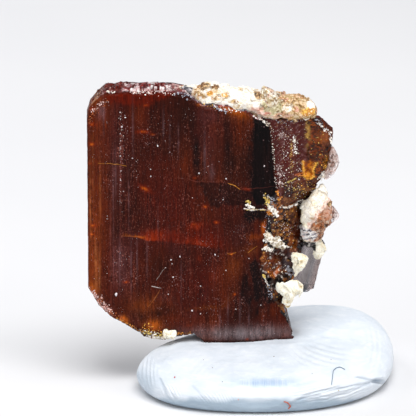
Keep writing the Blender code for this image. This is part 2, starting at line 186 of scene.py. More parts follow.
def zip_faces(first, first_share, second, second_share):
    """Triangles between two chains of points with rising shares: each edge of one chain goes to the
    point of the other chain that comes next at the edge's middle share.
    """
    first_middle = (first_share[1:] + first_share[:-1]) / 2
    second_middle = (second_share[1:] + second_share[:-1]) / 2
    to_second = second[np.searchsorted(second_middle, first_middle, side="left")]
    to_first = first[np.searchsorted(first_middle, second_middle, side="right")]
    return np.concatenate([np.stack([first[:-1], first[1:], to_second], -1),
                           np.stack([second[1:], second[:-1], to_first], -1)])


def icosahedron():
    """Corners (0, +-1, +-golden ratio) in turn round the axes, at radius 1, and the triples 1 edge apart."""
    golden = (1 + math.sqrt(5)) / 2
    corners = np.array([np.roll((0, s, t * golden), n) for n in range(3) for s in (-1, 1) for t in (-1, 1)])
    apart = np.linalg.norm(corners[:, None] - corners[None], axis=-1)
    triples = np.array([t for t in itertools.combinations(range(12), 3)
                        if all(abs(apart[a, b] - 2) < 0.01 for a, b in itertools.combinations(t, 2))])
    a, b, c = (corners[triples[:, n]] for n in range(3))
    inward = (np.cross(b - a, c - a) * a).sum(1) < 0
    triples[inward] = triples[inward][:, ::-1]
    return corners / np.linalg.norm(corners[0]), triples


def scattered(centres, radii, seed, flatness=0.6):
    """Broken grains as one mesh: an icosahedron at each centre, its corners moved in or out, squashed
    along random axes and turned by a random quaternion.
    """
    rng = np.random.default_rng(seed)
    base, triples = icosahedron()
    count = len(centres)
    shape = base[None] * (0.72 + 0.5 * rng.random((count, 12, 1)))
    shape = shape * (flatness + (1.5 - flatness) * rng.random((count, 1, 3)))
    w, i, j, k = (rng.normal(size=(4, count)) / 1.0)
    size = np.sqrt(w**2 + i**2 + j**2 + k**2)
    w, i, j, k = w / size, i / size, j / size, k / size
    turn = np.stack([
        np.stack([1 - 2 * (j * j + k * k), 2 * (i * j - k * w), 2 * (i * k + j * w)], -1),
        np.stack([2 * (i * j + k * w), 1 - 2 * (i * i + k * k), 2 * (j * k - i * w)], -1),
        np.stack([2 * (i * k - j * w), 2 * (j * k + i * w), 1 - 2 * (i * i + j * j)], -1)], 1)
    points = np.einsum("nij,npj->npi", turn, shape) * np.asarray(radii)[:, None, None] + np.asarray(centres)[:, None]
    faces = (triples[None] + 12 * np.arange(count)[:, None, None]).reshape(-1, 3)
    return points.reshape(-1, 3), [faces]


def make_piece(name, points, faces, materials, slots=None, masks=None, smooth=True):
    """A mesh object from points in mm and lists of faces with the same number of corners in each list."""
    mesh = bpy.data.meshes.new(name)
    corners = np.concatenate([part.reshape(-1) for part in faces]).astype(np.int32)
    sizes = np.concatenate([np.full(len(part), part.shape[1]) for part in faces]).astype(np.int32)
    mesh.vertices.add(len(points))
    mesh.vertices.foreach_set("co", (np.asarray(points) * MM).astype(np.float32).reshape(-1))
    mesh.loops.add(len(corners))
    mesh.loops.foreach_set("vertex_index", corners)
    mesh.polygons.add(len(sizes))
    mesh.polygons.foreach_set("loop_start", np.concatenate([[0], np.cumsum(sizes)[:-1]]).astype(np.int32))
    mesh.polygons.foreach_set("loop_total", sizes)
    mesh.update(calc_edges=True)
    mesh.polygons.foreach_set("use_smooth", np.full(len(sizes), smooth))
    for material in materials:
        mesh.materials.append(material)
    if slots is not None:
        mesh.polygons.foreach_set("material_index", slots.astype(np.int32))
    for label, values in (masks or {}).items():
        values = np.asarray(values, np.float32)
        kind, key = ("FLOAT", "value") if values.ndim == 1 else ("FLOAT_COLOR", "color")
        mesh.attributes.new(label, kind, "POINT").data.foreach_set(key, values.reshape(-1))
    mesh.validate()
    piece = bpy.data.objects.new(name, mesh)
    bpy.context.scene.collection.objects.link(piece)
    return piece


def dress(piece, slot, *nodes):
    """Lets the piece ride on the object and stand for CAD nodes, whose solids it hides; slot is not used."""
    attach(piece, "root")
    if nodes:
        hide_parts(*nodes)


# --- shader building ------------------------------------------------------------------------------


class Graph:
    """Adds nodes to one node tree; a value is a number, a colour or another node's socket."""

    def __init__(self, tree):
        self.tree = tree

    def add(self, kind, settings=None, **inputs):
        node = self.tree.nodes.new(kind)
        for key, value in (settings or {}).items():
            setattr(node, key, value)
        for key, value in inputs.items():
            self.set(node.inputs[key.replace("_", " ")], value)
        return node

    def set(self, socket, value):
        if isinstance(value, bpy.types.NodeSocket):
            self.tree.links.new(value, socket)
        else:
            socket.default_value = value

    def math(self, operation, *values):
        node = self.add("ShaderNodeMath", {"operation": operation})
        for socket, value in zip(node.inputs, values):
            self.set(socket, value)
        return node.outputs[0]

    def clamp(self, value):
        return self.add("ShaderNodeClamp", Value=value).outputs[0]

    def place(self, scale=(1, 1, 1), turn=(0, 0, 0)):
        """Object coordinates in millimetres, stretched by scale."""
        where = self.add("ShaderNodeTexCoord").outputs["Object"]
        size = tuple(1000 * part for part in scale)
        return self.add("ShaderNodeMapping", Vector=where, Scale=size, Rotation=turn).outputs[0]

    def noise(self, where, scale, detail=3.0, roughness=0.55, distortion=0.0):
        return self.add("ShaderNodeTexNoise", Vector=where, Scale=scale, Detail=detail,
                        Roughness=roughness, Distortion=distortion).outputs["Fac"]

    def ramp(self, value, *stops):
        node = self.add("ShaderNodeValToRGB", Fac=value)
        ramp_stops = node.color_ramp.elements
        while len(ramp_stops) < len(stops):
            ramp_stops.new(0.5)
        for stop, (place, colour) in zip(ramp_stops, stops):
            stop.position = place
            stop.color = colour if len(colour) == 4 else (*colour, 1.0)
        return node.outputs[0]

    def rise(self, value, low, high, bottom=0.0, top=1.0):
        return self.add("ShaderNodeMapRange", {"interpolation_type": "SMOOTHSTEP"}, Value=value,
                        From_Min=low, From_Max=high, To_Min=bottom, To_Max=top).outputs[0]

    def mix(self, share, first, second, blend="MIX"):
        node = self.add("ShaderNodeMix", {"data_type": "RGBA", "blend_type": blend})
        self.set(node.inputs[0], share)
        self.set(node.inputs[6], first)
        self.set(node.inputs[7], second)
        return node.outputs[2]

    def mask(self, name):
        return self.add("ShaderNodeAttribute", {"attribute_name": name}).outputs["Fac"]

    def tint(self, name):
        return self.add("ShaderNodeAttribute", {"attribute_name": name}).outputs["Color"]

    def bump(self, height, depth_mm, strength=1.0, normal=None):
        node = self.add("ShaderNodeBump", Strength=strength, Distance=depth_mm * MM, Height=height)
        if normal is not None:
            self.set(node.inputs["Normal"], normal)
        return node.outputs[0]


def colour(red, green, blue):
    """A screen colour, 0 to 255, as the linear values a shader takes."""
    parts = (part / 255 for part in (red, green, blue))
    return (*(part / 12.92 if part <= 0.04045 else ((part + 0.055) / 1.055) ** 2.4 for part in parts), 1.0)


def new_material(name):
    """An empty material: its Graph and its Principled BSDF."""
    material = bpy.data.materials.new(name)
    material.use_nodes = True
    graph = Graph(material.node_tree)
    return material, graph, material.node_tree.nodes["Principled BSDF"]


def new_group(name, inputs, outputs):
    """A shader node group with named float or colour sockets, and its input and output nodes."""
    group = bpy.data.node_groups.new(name, "ShaderNodeTree")
    for label, kind, value in inputs:
        socket = group.interface.new_socket(label, in_out="INPUT", socket_type=kind)
        if value is not None:
            socket.default_value = value
    for label, kind in outputs:
        group.interface.new_socket(label, in_out="OUTPUT", socket_type=kind)
    graph = Graph(group)
    return group, graph, graph.add("NodeGroupInput"), graph.add("NodeGroupOutput")


def use_group(graph, group, **inputs):
    return graph.add("ShaderNodeGroup", {"node_tree": group}, **inputs)


def make_dust_group():
    """Tiny pale specks: the middles of random cells, kept where a second random number is high."""
    group, graph, given, made = new_group(
        "Dust specks",
        [("Size", "NodeSocketFloat", 0.05), ("Spacing", "NodeSocketFloat", 0.35), ("Share", "NodeSocketFloat", 0.4)],
        [("Specks", "NodeSocketFloat")])
    where = graph.place()
    scale = graph.math("DIVIDE", 1.0, given.outputs["Spacing"])
    cells = graph.add("ShaderNodeTexVoronoi", Vector=where, Scale=scale)
    own = graph.add("ShaderNodeSeparateColor", Color=cells.outputs["Color"])
    size = graph.math("MULTIPLY", given.outputs["Size"], graph.math("ADD", 0.4, own.outputs["Red"]))
    reach = graph.math("MULTIPLY", cells.outputs["Distance"], given.outputs["Spacing"])
    inside = graph.math("SUBTRACT", 1.0, graph.math("DIVIDE", reach, size))
    kept = graph.math("LESS_THAN", own.outputs["Green"], given.outputs["Share"])
    soft = graph.clamp(graph.math("MULTIPLY", inside, 3.0))
    graph.set(made.inputs["Specks"], graph.math("MULTIPLY", soft, kept))
    return group


def make_hairline_group():
    """How near a point is to a straight crack from Start to End: 1 on it, 0 beyond Width, in mm in the x, z plane.

    The place along the crack is dot(p - start, end - start) / |end - start|^2, kept from 0 to 1.
    """
    group, graph, given, made = new_group(
        "Hairline crack",
        [("Start", "NodeSocketVector", None), ("End", "NodeSocketVector", None), ("Width", "NodeSocketFloat", 0.02)],
        [("Crack", "NodeSocketFloat")])

    def vector(operation, *values, output=0):
        node = graph.add("ShaderNodeVectorMath", {"operation": operation})
        for socket, value in zip(node.inputs, values):
            graph.set(socket, value)
        return node.outputs[output]

    where = graph.place()
    wander = graph.add("ShaderNodeTexNoise", Vector=where, Scale=2.2, Detail=2.0).outputs["Color"]
    wander = vector("MULTIPLY", vector("SUBTRACT", wander, (0.5, 0.5, 0.5)), (0.10, 0.10, 0.10))
    flat = vector("MULTIPLY", vector("ADD", where, wander), (1, 0, 1))
    way = vector("SUBTRACT", given.outputs["End"], given.outputs["Start"])
    off = vector("SUBTRACT", flat, given.outputs["Start"])
    along = graph.math("DIVIDE", vector("DOT_PRODUCT", off, way, output=1), vector("DOT_PRODUCT", way, way, output=1))
    scale = graph.add("ShaderNodeVectorMath", {"operation": "SCALE"})
    graph.set(scale.inputs[0], way)
    graph.set(scale.inputs["Scale"], graph.clamp(along))
    distance = vector("LENGTH", vector("SUBTRACT", off, scale.outputs[0]), output=1)
    breaks = graph.rise(graph.noise(where, 2.6, 3.0, 0.7), 0.36, 0.62, 0.25, 1.3)
    near = graph.math("SUBTRACT", 1.0, graph.math("DIVIDE", distance, graph.math("MULTIPLY", given.outputs["Width"], breaks)))
    graph.set(made.inputs["Crack"], graph.clamp(graph.math("MULTIPLY", near, 1.6)))
    return group


def make_grain_group():
    """Crumbly grains of two sizes: a random shade for each grain, its height, and the gaps between grains."""
    group, graph, given, made = new_group(
        "Mineral grain",
        [("Grain", "NodeSocketFloat", 0.3)],
        [("Shade", "NodeSocketFloat"), ("Height", "NodeSocketFloat"), ("Gap", "NodeSocketFloat")])
    where = graph.place()
    wobble = graph.add("ShaderNodeTexNoise", Vector=where, Scale=2.2, Detail=3.0).outputs["Color"]
    bent = graph.add("ShaderNodeMix", {"data_type": "RGBA", "blend_type": "LINEAR_LIGHT"})
    graph.set(bent.inputs[0], 0.22)
    graph.set(bent.inputs[6], where)
    graph.set(bent.inputs[7], wobble)
    scale = graph.math("DIVIDE", 1.0, given.outputs["Grain"])
    large = graph.add("ShaderNodeTexVoronoi", Vector=bent.outputs[2], Scale=scale)
    edges = graph.add("ShaderNodeTexVoronoi", {"feature": "DISTANCE_TO_EDGE"}, Vector=bent.outputs[2], Scale=scale)
    small = graph.noise(where, graph.math("MULTIPLY", scale, 2.5), 4.0, 0.65)
    shade = graph.add("ShaderNodeSeparateColor", Color=large.outputs["Color"]).outputs["Red"]
    graph.set(made.inputs["Shade"], graph.math("MULTIPLY_ADD", small, 0.35, graph.math("MULTIPLY", shade, 0.65)))
    body = graph.math("SUBTRACT", 1.0, large.outputs["Distance"])
    graph.set(made.inputs["Height"], graph.math("MULTIPLY_ADD", small, 0.6, body))
    graph.set(made.inputs["Gap"], graph.rise(edges.outputs["Distance"], 0.0, 0.09, 1.0, 0.0))
    return group


# --- what shows on the brookite's front: places in mm on the plate --------------------------------

PATCHES = (  # x, z, half width, half height, turn, strength, tone: soft patches and upright streaks of the face
    (-8.7, 12.45, 0.85, 6.9, 0, 0.7, "russet"), (-8.94, 7.9, 0.5, 3.0, 0, 0.7, "amber brown"), (-7.44, 14.02, 0.54, 3.26, 0, 0.35, "plum"),
    (-7.32, 7.62, 0.54, 1.51, 0, 0.5, "plum"), (-6.18, 16.97, 0.48, 1.13, 0, 0.45, "russet"), (-4.32, 16.03, 1.44, 1.63, 0, 0.35, "umber"),
    (-1.86, 16.78, 0.72, 0.5, 0, 0.6, "plum"), (-1.98, 14.65, 0.66, 1.88, 0, 0.35, "plum"), (-3.3, 16.78, 0.36, 0.88, 0, 0.35, "umber"),
    (-0.3, 16.9, 0.9, 0.5, -14, 0.7, "chestnut"), (0, 15.77, 0.6, 1, 0, 0.45, "russet"), (-0.06, 14.02, 0.66, 1.13, 0, 0.3, "russet"),
    (-0.96, 14.77, 0.24, 2.13, 0, 0.7, "night"), (-2.76, 14.52, 0.27, 1.07, 0, 0.8, "night"), (-2.94, 16.53, 0.18, 0.88, 0, 0.45, "night"),
    (-4.32, 11.19, 2.04, 1.51, 0, 0.3, "wine"), (-6.36, 11.19, 0.78, 1.88, 0, 0.2, "umber"), (-2.22, 10.76, 0.72, 0.75, 0, 0.35, "russet"),
    (-3.72, 7.62, 2.16, 0.75, 0, 0.45, "umber"), (-4.92, 6.99, 0.84, 1.25, 0, 0.35, "umber"), (-2.16, 6.61, 1.32, 1.25, 0, 0.4, "wine"),
    (-0.48, 7.37, 0.54, 0.82, 0, 0.5, "chestnut"), (-0.9, 6.11, 0.54, 0.94, 20, 0.35, "russet"), (-0.24, 9.25, 0.84, 1.25, 0, 0.35, "umber"),
    (-5.94, 4.79, 1.14, 0.82, 0, 0.55, "chestnut"), (-5.4, 3.67, 0.50, 0.30, 12, 0.55, "amber"), (-5.15, 3.45, 0.3, 0.2, 0, 0.5, "amber"), (-4.62, 3.35, 0.48, 0.25, 0, 0.5, "chestnut"),
    (-4.02, 4.1, 0.84, 0.56, 0, 0.35, "russet"), (-0.12, 4.36, 2.04, 0.56, 0, 0.4, "umber"), (1.98, 4.54, 0.36, 0.44, 0, 0.6, "russet"),
    (1.2, 4.36, 0.24, 0.5, 0, 0.35, "russet"), (2.7, 2.91, 0.3, 0.19, 0, 0.6, "russet"), (-8.64, 17.53, 0.42, 0.31, 40, 0.55, "chestnut"),
    (-9, 5.8, 0.24, 0.38, 0, 0.6, "amber"), (-7.14, 3.98, 0.3, 0.16, -38, 0.9, "amber"), (-2.34, 17.5, 0.3, 0.1, -8, 0.85, "amber"),
    (-1.56, 17.47, 0.18, 0.08, 0, 0.9, "gold"), (-1.08, 17.28, 0.48, 0.13, -12, 0.6, "amber"), (-0.36, 16.97, 0.54, 0.19, -25, 0.5, "amber"),
    (-8.4, 16.97, 0.21, 0.38, 0, 0.45, "lilac"), (-5.04, 4.48, 0.48, 0.25, 10, 0.6, "umber"), (-6.18, 4.23, 0.36, 0.25, 0, 0.5, "umber"),
    (-4.32, 4.67, 0.42, 0.25, 0, 0.4, "umber"), (-2.16, 4.73, 1.08, 0.1, 6, 0.45, "chestnut"), (-0.66, 5.42, 0.15, 0.56, -35, 0.45, "chestnut"),
    (-5.58, 5.05, 0.13, 0.5, -35, 0.55, "chestnut"), (0.6, 10.44, 0.54, 0.38, 0, 0.85, "night"), (0.78, 9.19, 0.54, 0.2, 0, 0.7, "amber brown"),
    (1.29, 9.75, 0.11, 0.44, 0, 0.8, "amber"), (0.48, 8.37, 0.48, 0.38, 0, 0.45, "chestnut"), (0.3, 9.88, 0.24, 0.63, 0, 0.4, "umber"),
    (1.14, 8.12, 0.18, 0.31, 0, 0.4, "umber"), (-8.25, 16.72, 0.04, 0.94, 0, 0.55, "lilac"), (-8.78, 7.24, 0.07, 1.76, 0, 0.65, "tan"),
    (-8.57, 7.12, 0.05, 1.51, 0, 0.55, "tan"), (-8.33, 6.99, 0.08, 1.88, 0, 0.75, "dark red"), (-8.08, 7.24, 0.07, 2.13, 0, 0.65, "dark red"),
    (-7.88, 8.37, 0.05, 3.76, 0, 0.55, "rose"), (-7.71, 10.25, 0.04, 3.14, 0, 0.35, "lilac"), (-9.09, 11.51, 0.05, 2.51, 0, 0.45, "tan"),
    (-8.9, 13.39, 0.04, 1.88, 0, 0.35, "tan"), (-8.49, 12.14, 0.05, 1.76, 0, 0.35, "tan"), (-7.56, 13.26, 0.04, 1.38, 0, 0.35, "lilac"),
    (-7.34, 7.62, 0.05, 1.25, 0, 0.4, "lilac"), (-6.66, 7.49, 0.05, 1.51, 0, 0.4, "lilac"), (-6.3, 7.62, 0.04, 1.38, 0, 0.3, "lilac"),
    (-6.51, 16.03, 0.05, 1.38, 0, 0.3, "lilac"), (-6.78, 11.19, 0.04, 1.63, 0, 0.28, "lilac"), (-4.7, 16.28, 0.05, 0.69, 0, 0.4, "lilac"),
    (-4.32, 15.65, 0.04, 0.88, 0, 0.3, "lilac"), (-3.81, 15.15, 0.05, 0.88, 0, 0.28, "lilac"), (-2.24, 14.52, 0.05, 1.25, 0, 0.35, "lilac"),
    (-1.83, 13.26, 0.16, 0.44, 0, 0.35, "lilac"), (-5.7, 7.62, 0.05, 1.13, 0, 0.25, "lilac"), (-3.66, 6.49, 0.04, 1.38, 0, 0.22, "lilac"),
    (-3.12, 7.62, 0.04, 1.25, 0, 0.22, "rose"), (-1.44, 9.5, 0.04, 1, 0, 0.3, "rose"), (-1.68, 6.61, 0.05, 1.13, 0, 0.3, "rose"),
    (-5.52, 7.24, 0.05, 1.13, 0, 0.28, "dark red"), (-5.04, 10.13, 0.04, 0.88, 0, 0.22, "lilac"), (-3.48, 11.01, 0.05, 1.38, 0, 0.25, "rose"),
    (-0.84, 4.48, 0.05, 0.75, 0, 0.35, "lilac"), (-0.12, 4.48, 0.05, 0.75, 0, 0.3, "lilac"), (0.42, 4.23, 0.05, 0.63, 0, 0.35, "lilac"),
    (-1.32, 4.1, 0.05, 0.5, 0, 0.35, "lilac"), (1.44, 5.48, 0.06, 0.75, 0, 0.5, "night"), (0.42, 5.23, 0.07, 0.75, 0, 0.5, "night"),
    (0.84, 4.86, 0.06, 0.63, 0, 0.4, "night"), (-1.9, 13.2, 1.3, 2.6, 0, 0.4, "umber"), (-0.2, 13.8, 0.7, 2.2, 0, 0.45, "umber"),
    (-0.6, 5.9, 1.2, 1.4, 0, 0.3, "umber"), (-7.27, 13.2, 0.05, 2.4, 0, 0.5, "rose"), (-7.2, 7.4, 0.42, 1.4, 0, 0.10, "lilac"),
    (0.3, 6.2, 0.15, 1.1, 0, 0.7, "night"), (0.78, 5.9, 0.2, 1.3, 0, 0.8, "night"), (1.2, 5.3, 0.18, 1.0, 0, 0.75, "night"),
    (-0.02, 5.6, 0.11, 0.8, 0, 0.55, "night"), (1.62, 4.7, 0.12, 0.6, 0, 0.5, "night"), (0.42, 13.9, 0.22, 2.5, 0, 0.8, "night"), (-0.1, 13.6, 0.45, 1.8, 0, 0.35, "umber"), (0.1, 14.8, 0.3, 1.6, 0, 0.4, "umber"),
    (-0.72, 14.3, 0.32, 1.9, 0, 0.55, "night"), (-2.7, 13.8, 0.22, 1.2, 0, 0.6, "night"), (0.5, 5.3, 0.10, 1.4, 0, 0.9, "night"),
    (0.95, 5.0, 0.09, 1.3, 0, 0.9, "night"), (0.05, 6.3, 0.08, 1.0, 0, 0.8, "night"), (-0.35, 5.2, 0.07, 0.9, 0, 0.6, "night"))
WEDGE_PATCHES = (  # the same, lit only above the growth step
    (-5.16, 9.3, 0.9, 0.36, 4, 0.62, "ember"), (-5.5, 9.08, 0.5, 0.12, -4, 0.6, "ember"), (-3.96, 9.19, 0.96, 0.35, 0, 0.65, "brick"),
    (-2.34, 9.25, 0.85, 0.75, -30, 0.75, "brick"), (-2.52, 8.81, 0.96, 0.25, -6, 0.4, "ember"), (-2.76, 9.88, 0.48, 0.19, 14, 0.5, "ember"),
    (-1.68, 9, 0.48, 0.5, 0, 0.5, "brick"), (-6.42, 9.19, 0.54, 0.1, -6, 0.75, "amber"))
BREAK_PATCHES = (  # the same, on the broken part
    (3, 10.13, 0.6, 0.88, 0, 0.75, "treacle"), (3.24, 9.25, 0.36, 0.75, 0, 0.55, "amber brown"), (1.8, 9.88, 0.42, 0.5, 20, 0.8, "night"),
    (2.46, 9.88, 0.3, 0.5, 0, 0.5, "umber"), (2.4, 8.12, 0.42, 0.25, 0, 0.95, "dark red"), (1.41, 7.81, 0.3, 0.56, 8, 0.9, "chestnut"),
    (2.76, 7.24, 0.3, 0.38, 0, 0.7, "slate"), (1.77, 6.87, 0.19, 0.28, 40, 0.9, "amber"), (1.56, 5.99, 0.3, 0.75, -15, 0.85, "night"),
    (2.28, 8.94, 0.3, 0.19, -30, 0.7, "umber"), (2.22, 7.43, 0.24, 0.31, 0, 0.6, "umber"), (2.52, 11.95, 0.36, 0.5, 0, 0.5, "treacle"),
    (2.04, 12.14, 0.27, 0.14, -40, 0.9, "amber"), (2.31, 11.76, 0.15, 0.25, -30, 0.7, "ember"), (3.48, 12.01, 0.84, 0.63, 0, 0.5, "treacle"),
    (1.68, 11.7, 0.3, 0.31, 0, 0.8, "night"), (4.02, 8.37, 0.36, 0.38, 0, 0.6, "night"),
    (2.2, 5.2, 0.5, 1.2, -20, 0.85, "night"), (1.78, 7.65, 0.42, 0.4, 0, 0.75, "amber brown"),
    (2.5, 7.85, 0.3, 0.3, 0, 0.6, "dark red"), (2.95, 7.55, 0.22, 0.4, 0, 0.7, "lilac"), (2.5, 6.85, 0.3, 0.22, 0, 0.7, "chestnut"),
    (2.1, 7.0, 0.12, 0.3, -30, 0.9, "amber"), (1.7, 9.2, 0.2, 0.5, 0, 0.6, "night"))
GLEAMS = (  # x, z, half width, half height, turn, strength: small bright orange spots of painted glow, as of light shining through the crystal
    (-8.88, 17.09, 0.24, 0.08, 0, 0.7), (-8.91, 16.15, 0.19, 0.08, 0, 1), (-8.97, 14.93, 0.18, 0.08, 0, 0.85), (-9.09, 13.7, 0.1, 0.06, 0, 0.6),
    (-8.94, 9.88, 0.19, 0.08, 0, 0.8), (-8.97, 9.32, 0.18, 0.06, 0, 0.8), (-5.94, 15.8, 0.3, 0.08, 2, 0.75), (-5.72, 17.44, 0.12, 0.06, 0, 0.7),
    (-5.34, 15.65, 0.18, 0.06, 0, 0.35), (-5.79, 12.26, 0.39, 0.11, -30, 0.55), (-2.78, 12.89, 0.13, 0.09, 0, 0.55), (-2.2, 11.16, 0.13, 0.1, 0, 0.6),
    (-1.56, 10.17, 0.13, 0.06, 0, 1), (-2.85, 10, 0.24, 0.08, 6, 0.55), (0.24, 12.21, 0.19, 0.06, 0, 0.8), (-0.6, 8.18, 0.16, 0.06, -4, 0.7),
    (-2.55, 7.82, 0.12, 0.1, 0, 0.35), (1.32, 6.9, 0.1, 0.1, 0, 0.9), (0.33, 2.71, 0.08, 0.06, 0, 0.9), (-3.18, 3.6, 0.18, 0.05, 0, 0.35),
    (-6.96, 6.38, 0.16, 0.06, -10, 0.6), (-0.42, 5.65, 0.08, 0.08, 0, 0.6))
REGIONS = (  # outline as x, z points, softness of its edge, strength, tone
    (((-8.28, 17.97), (-6.72, 18.22), (-4.32, 18.32), (-3.9, 18.16), (-4.44, 17.94), (-5.04, 17.72), (-5.52, 17.47), (-6.72, 17.47), (-7.8, 17.53)),
     0.16, 0.8, "brick"),
    (((-5.58, 16.97), (-5.22, 17.53), (-4.68, 17.88), (-4.02, 18.13), (-3, 17.97), (-2.7, 17.28), (-2.94, 15.27), (-3.18, 14.14), (-4.2, 14.02), (-5.16, 14.9), (-5.64, 15.9)),
     0.18, 0.35, "umber"),
    (((-2.61, 12.64), (-1.26, 12.69), (-0.78, 12.56), (-0.15, 12.16), (0.6, 12.17), (0.72, 11.13), (-0.12, 11.19), (-1.02, 11.26), (-1.86, 11.13)),
     0.08, 0.62, "night"),
    (((0.64, 16.65), (0.9, 17.22), (1.2, 16.97), (1.68, 16.34), (1.86, 14.65), (1.92, 13.39), (2.07, 12.26), (2.28, 11.07), (1.32, 11.13), (0.78, 11.13), (0.5, 12.26), (0.54, 14.02)),
     0.11, 1, "night"),
    (((0.42, 7.5), (0.84, 7.87), (1.2, 6.87), (1.56, 5.86), (2.04, 4.98), (1.5, 4.9), (1.2, 5.5), (0.84, 5.2), (0.6, 6.1)),
     0.12, 0.85, "night"),
    (((0.06, 6.9), (0.36, 6.8), (0.3, 5.9), (0.42, 5.0), (0.12, 5.1), (-0.12, 5.9)), 0.12, 0.55, "night"),
    (((0.3, 11.1), (1.35, 11.1), (1.5, 10.4), (1.32, 9.9), (0.9, 10.3), (0.42, 10.2), (0.06, 10.6)), 0.14, 0.9, "night"))
HAIRLINES = (  # route as x, z points, half width, strength, tone: fine cracks drawn by the shader
    (((-8.6, 13.79), (-7.9, 13.82), (-7.35, 13.76), (-6.9, 13.66)), 0.018, 0.55, "gold"),
    (((-3.9, 12.95), (-2.72, 12.68), (-1.26, 12.69), (-0.78, 12.56)), 0.018, 0.55, "rose"),
    (((-0.84, 12.57), (-0.48, 12.46), (-0.12, 12.21)), 0.022, 0.75, "gold"),
    (((-0.12, 12.21), (0.3, 12.25), (1.92, 12.3)), 0.018, 0.55, "rose"),
    (((-4.62, 7.31), (-4.92, 6.87), (-5.16, 6.5)), 0.018, 0.35, "bone"),
    (((-5.43, 6.12), (-5.1, 6.03), (-4.86, 6.0)), 0.024, 0.8, "bone"),
    (((-4.95, 5.86), (-5.2, 5.4), (-5.64, 4.85)), 0.04, 0.28, "tan"),
    (((-7.26, 9.24), (-6.84, 9.26), (-5.88, 9.22)), 0.018, 0.35, "tan"),
    (((-0.9, 8.19), (-0.66, 8.13), (-0.36, 8.25)), 0.020, 0.4, "gold"),
    (((0.36, 8.25), (0.66, 8.47), (0.9, 8.63)), 0.020, 0.5, "gold"),
    (((1.32, 6.75), (1.5, 6.37), (1.62, 6.06)), 0.024, 0.7, "bone"),
    (((0.14, 11.0), (0.6, 10.92), (1.1, 10.93), (1.5, 10.84)), 0.055, 1.0, "bone"))
GRAINS = (  # x, z, radius in hundredths of a millimetre: the larger grains of dust
    (-5.04, 14.91, 7), (-5.46, 13.46, 5), (-2.58, 13.21, 6), (-2.97, 11.67, 6), (-0.96, 12.87, 7),
    (1.32, 13.62, 6), (-1.14, 11.58, 5), (-3.72, 8.0, 6), (-4.26, 7.78, 5), (-4.2, 7.53, 5),
    (-4.59, 7.31, 5), (-4.14, 6.69, 6), (-3.0, 4.58, 6), (-2.49, 4.36, 5), (-2.49, 6.12, 5),
    (-4.44, 5.62, 5), (-1.62, 8.13, 7), (0.42, 7.88, 5), (-0.96, 7.13, 5), (-0.36, 4.68, 5),
    (1.14, 4.9, 5), (-2.04, 13.65, 5), (-4.32, 14.53, 4), (-5.46, 13.02, 5), (-6.54, 14.15, 5),
    (-7.56, 5.62, 12), (-6.96, 16.66, 7), (-7.26, 16.98, 5), (-7.24, 16.54, 4), (-7.16, 16.1, 10),
    (-7.26, 15.66, 5), (-7.24, 15.22, 5), (-7.27, 14.78, 4), (-7.26, 14.28, 5), (-7.24, 13.34, 5),
    (-7.26, 12.77, 5), (-7.08, 12.08, 4))
AMBER_WINDOW = (  # x, z points round the bright amber part of the shelf
    (3.63, 13.82), (4.38, 13.69), (4.23, 13.19), (4.32, 12.82), (4.02, 12.6), (3.72, 12.76), (3.66, 13.32))
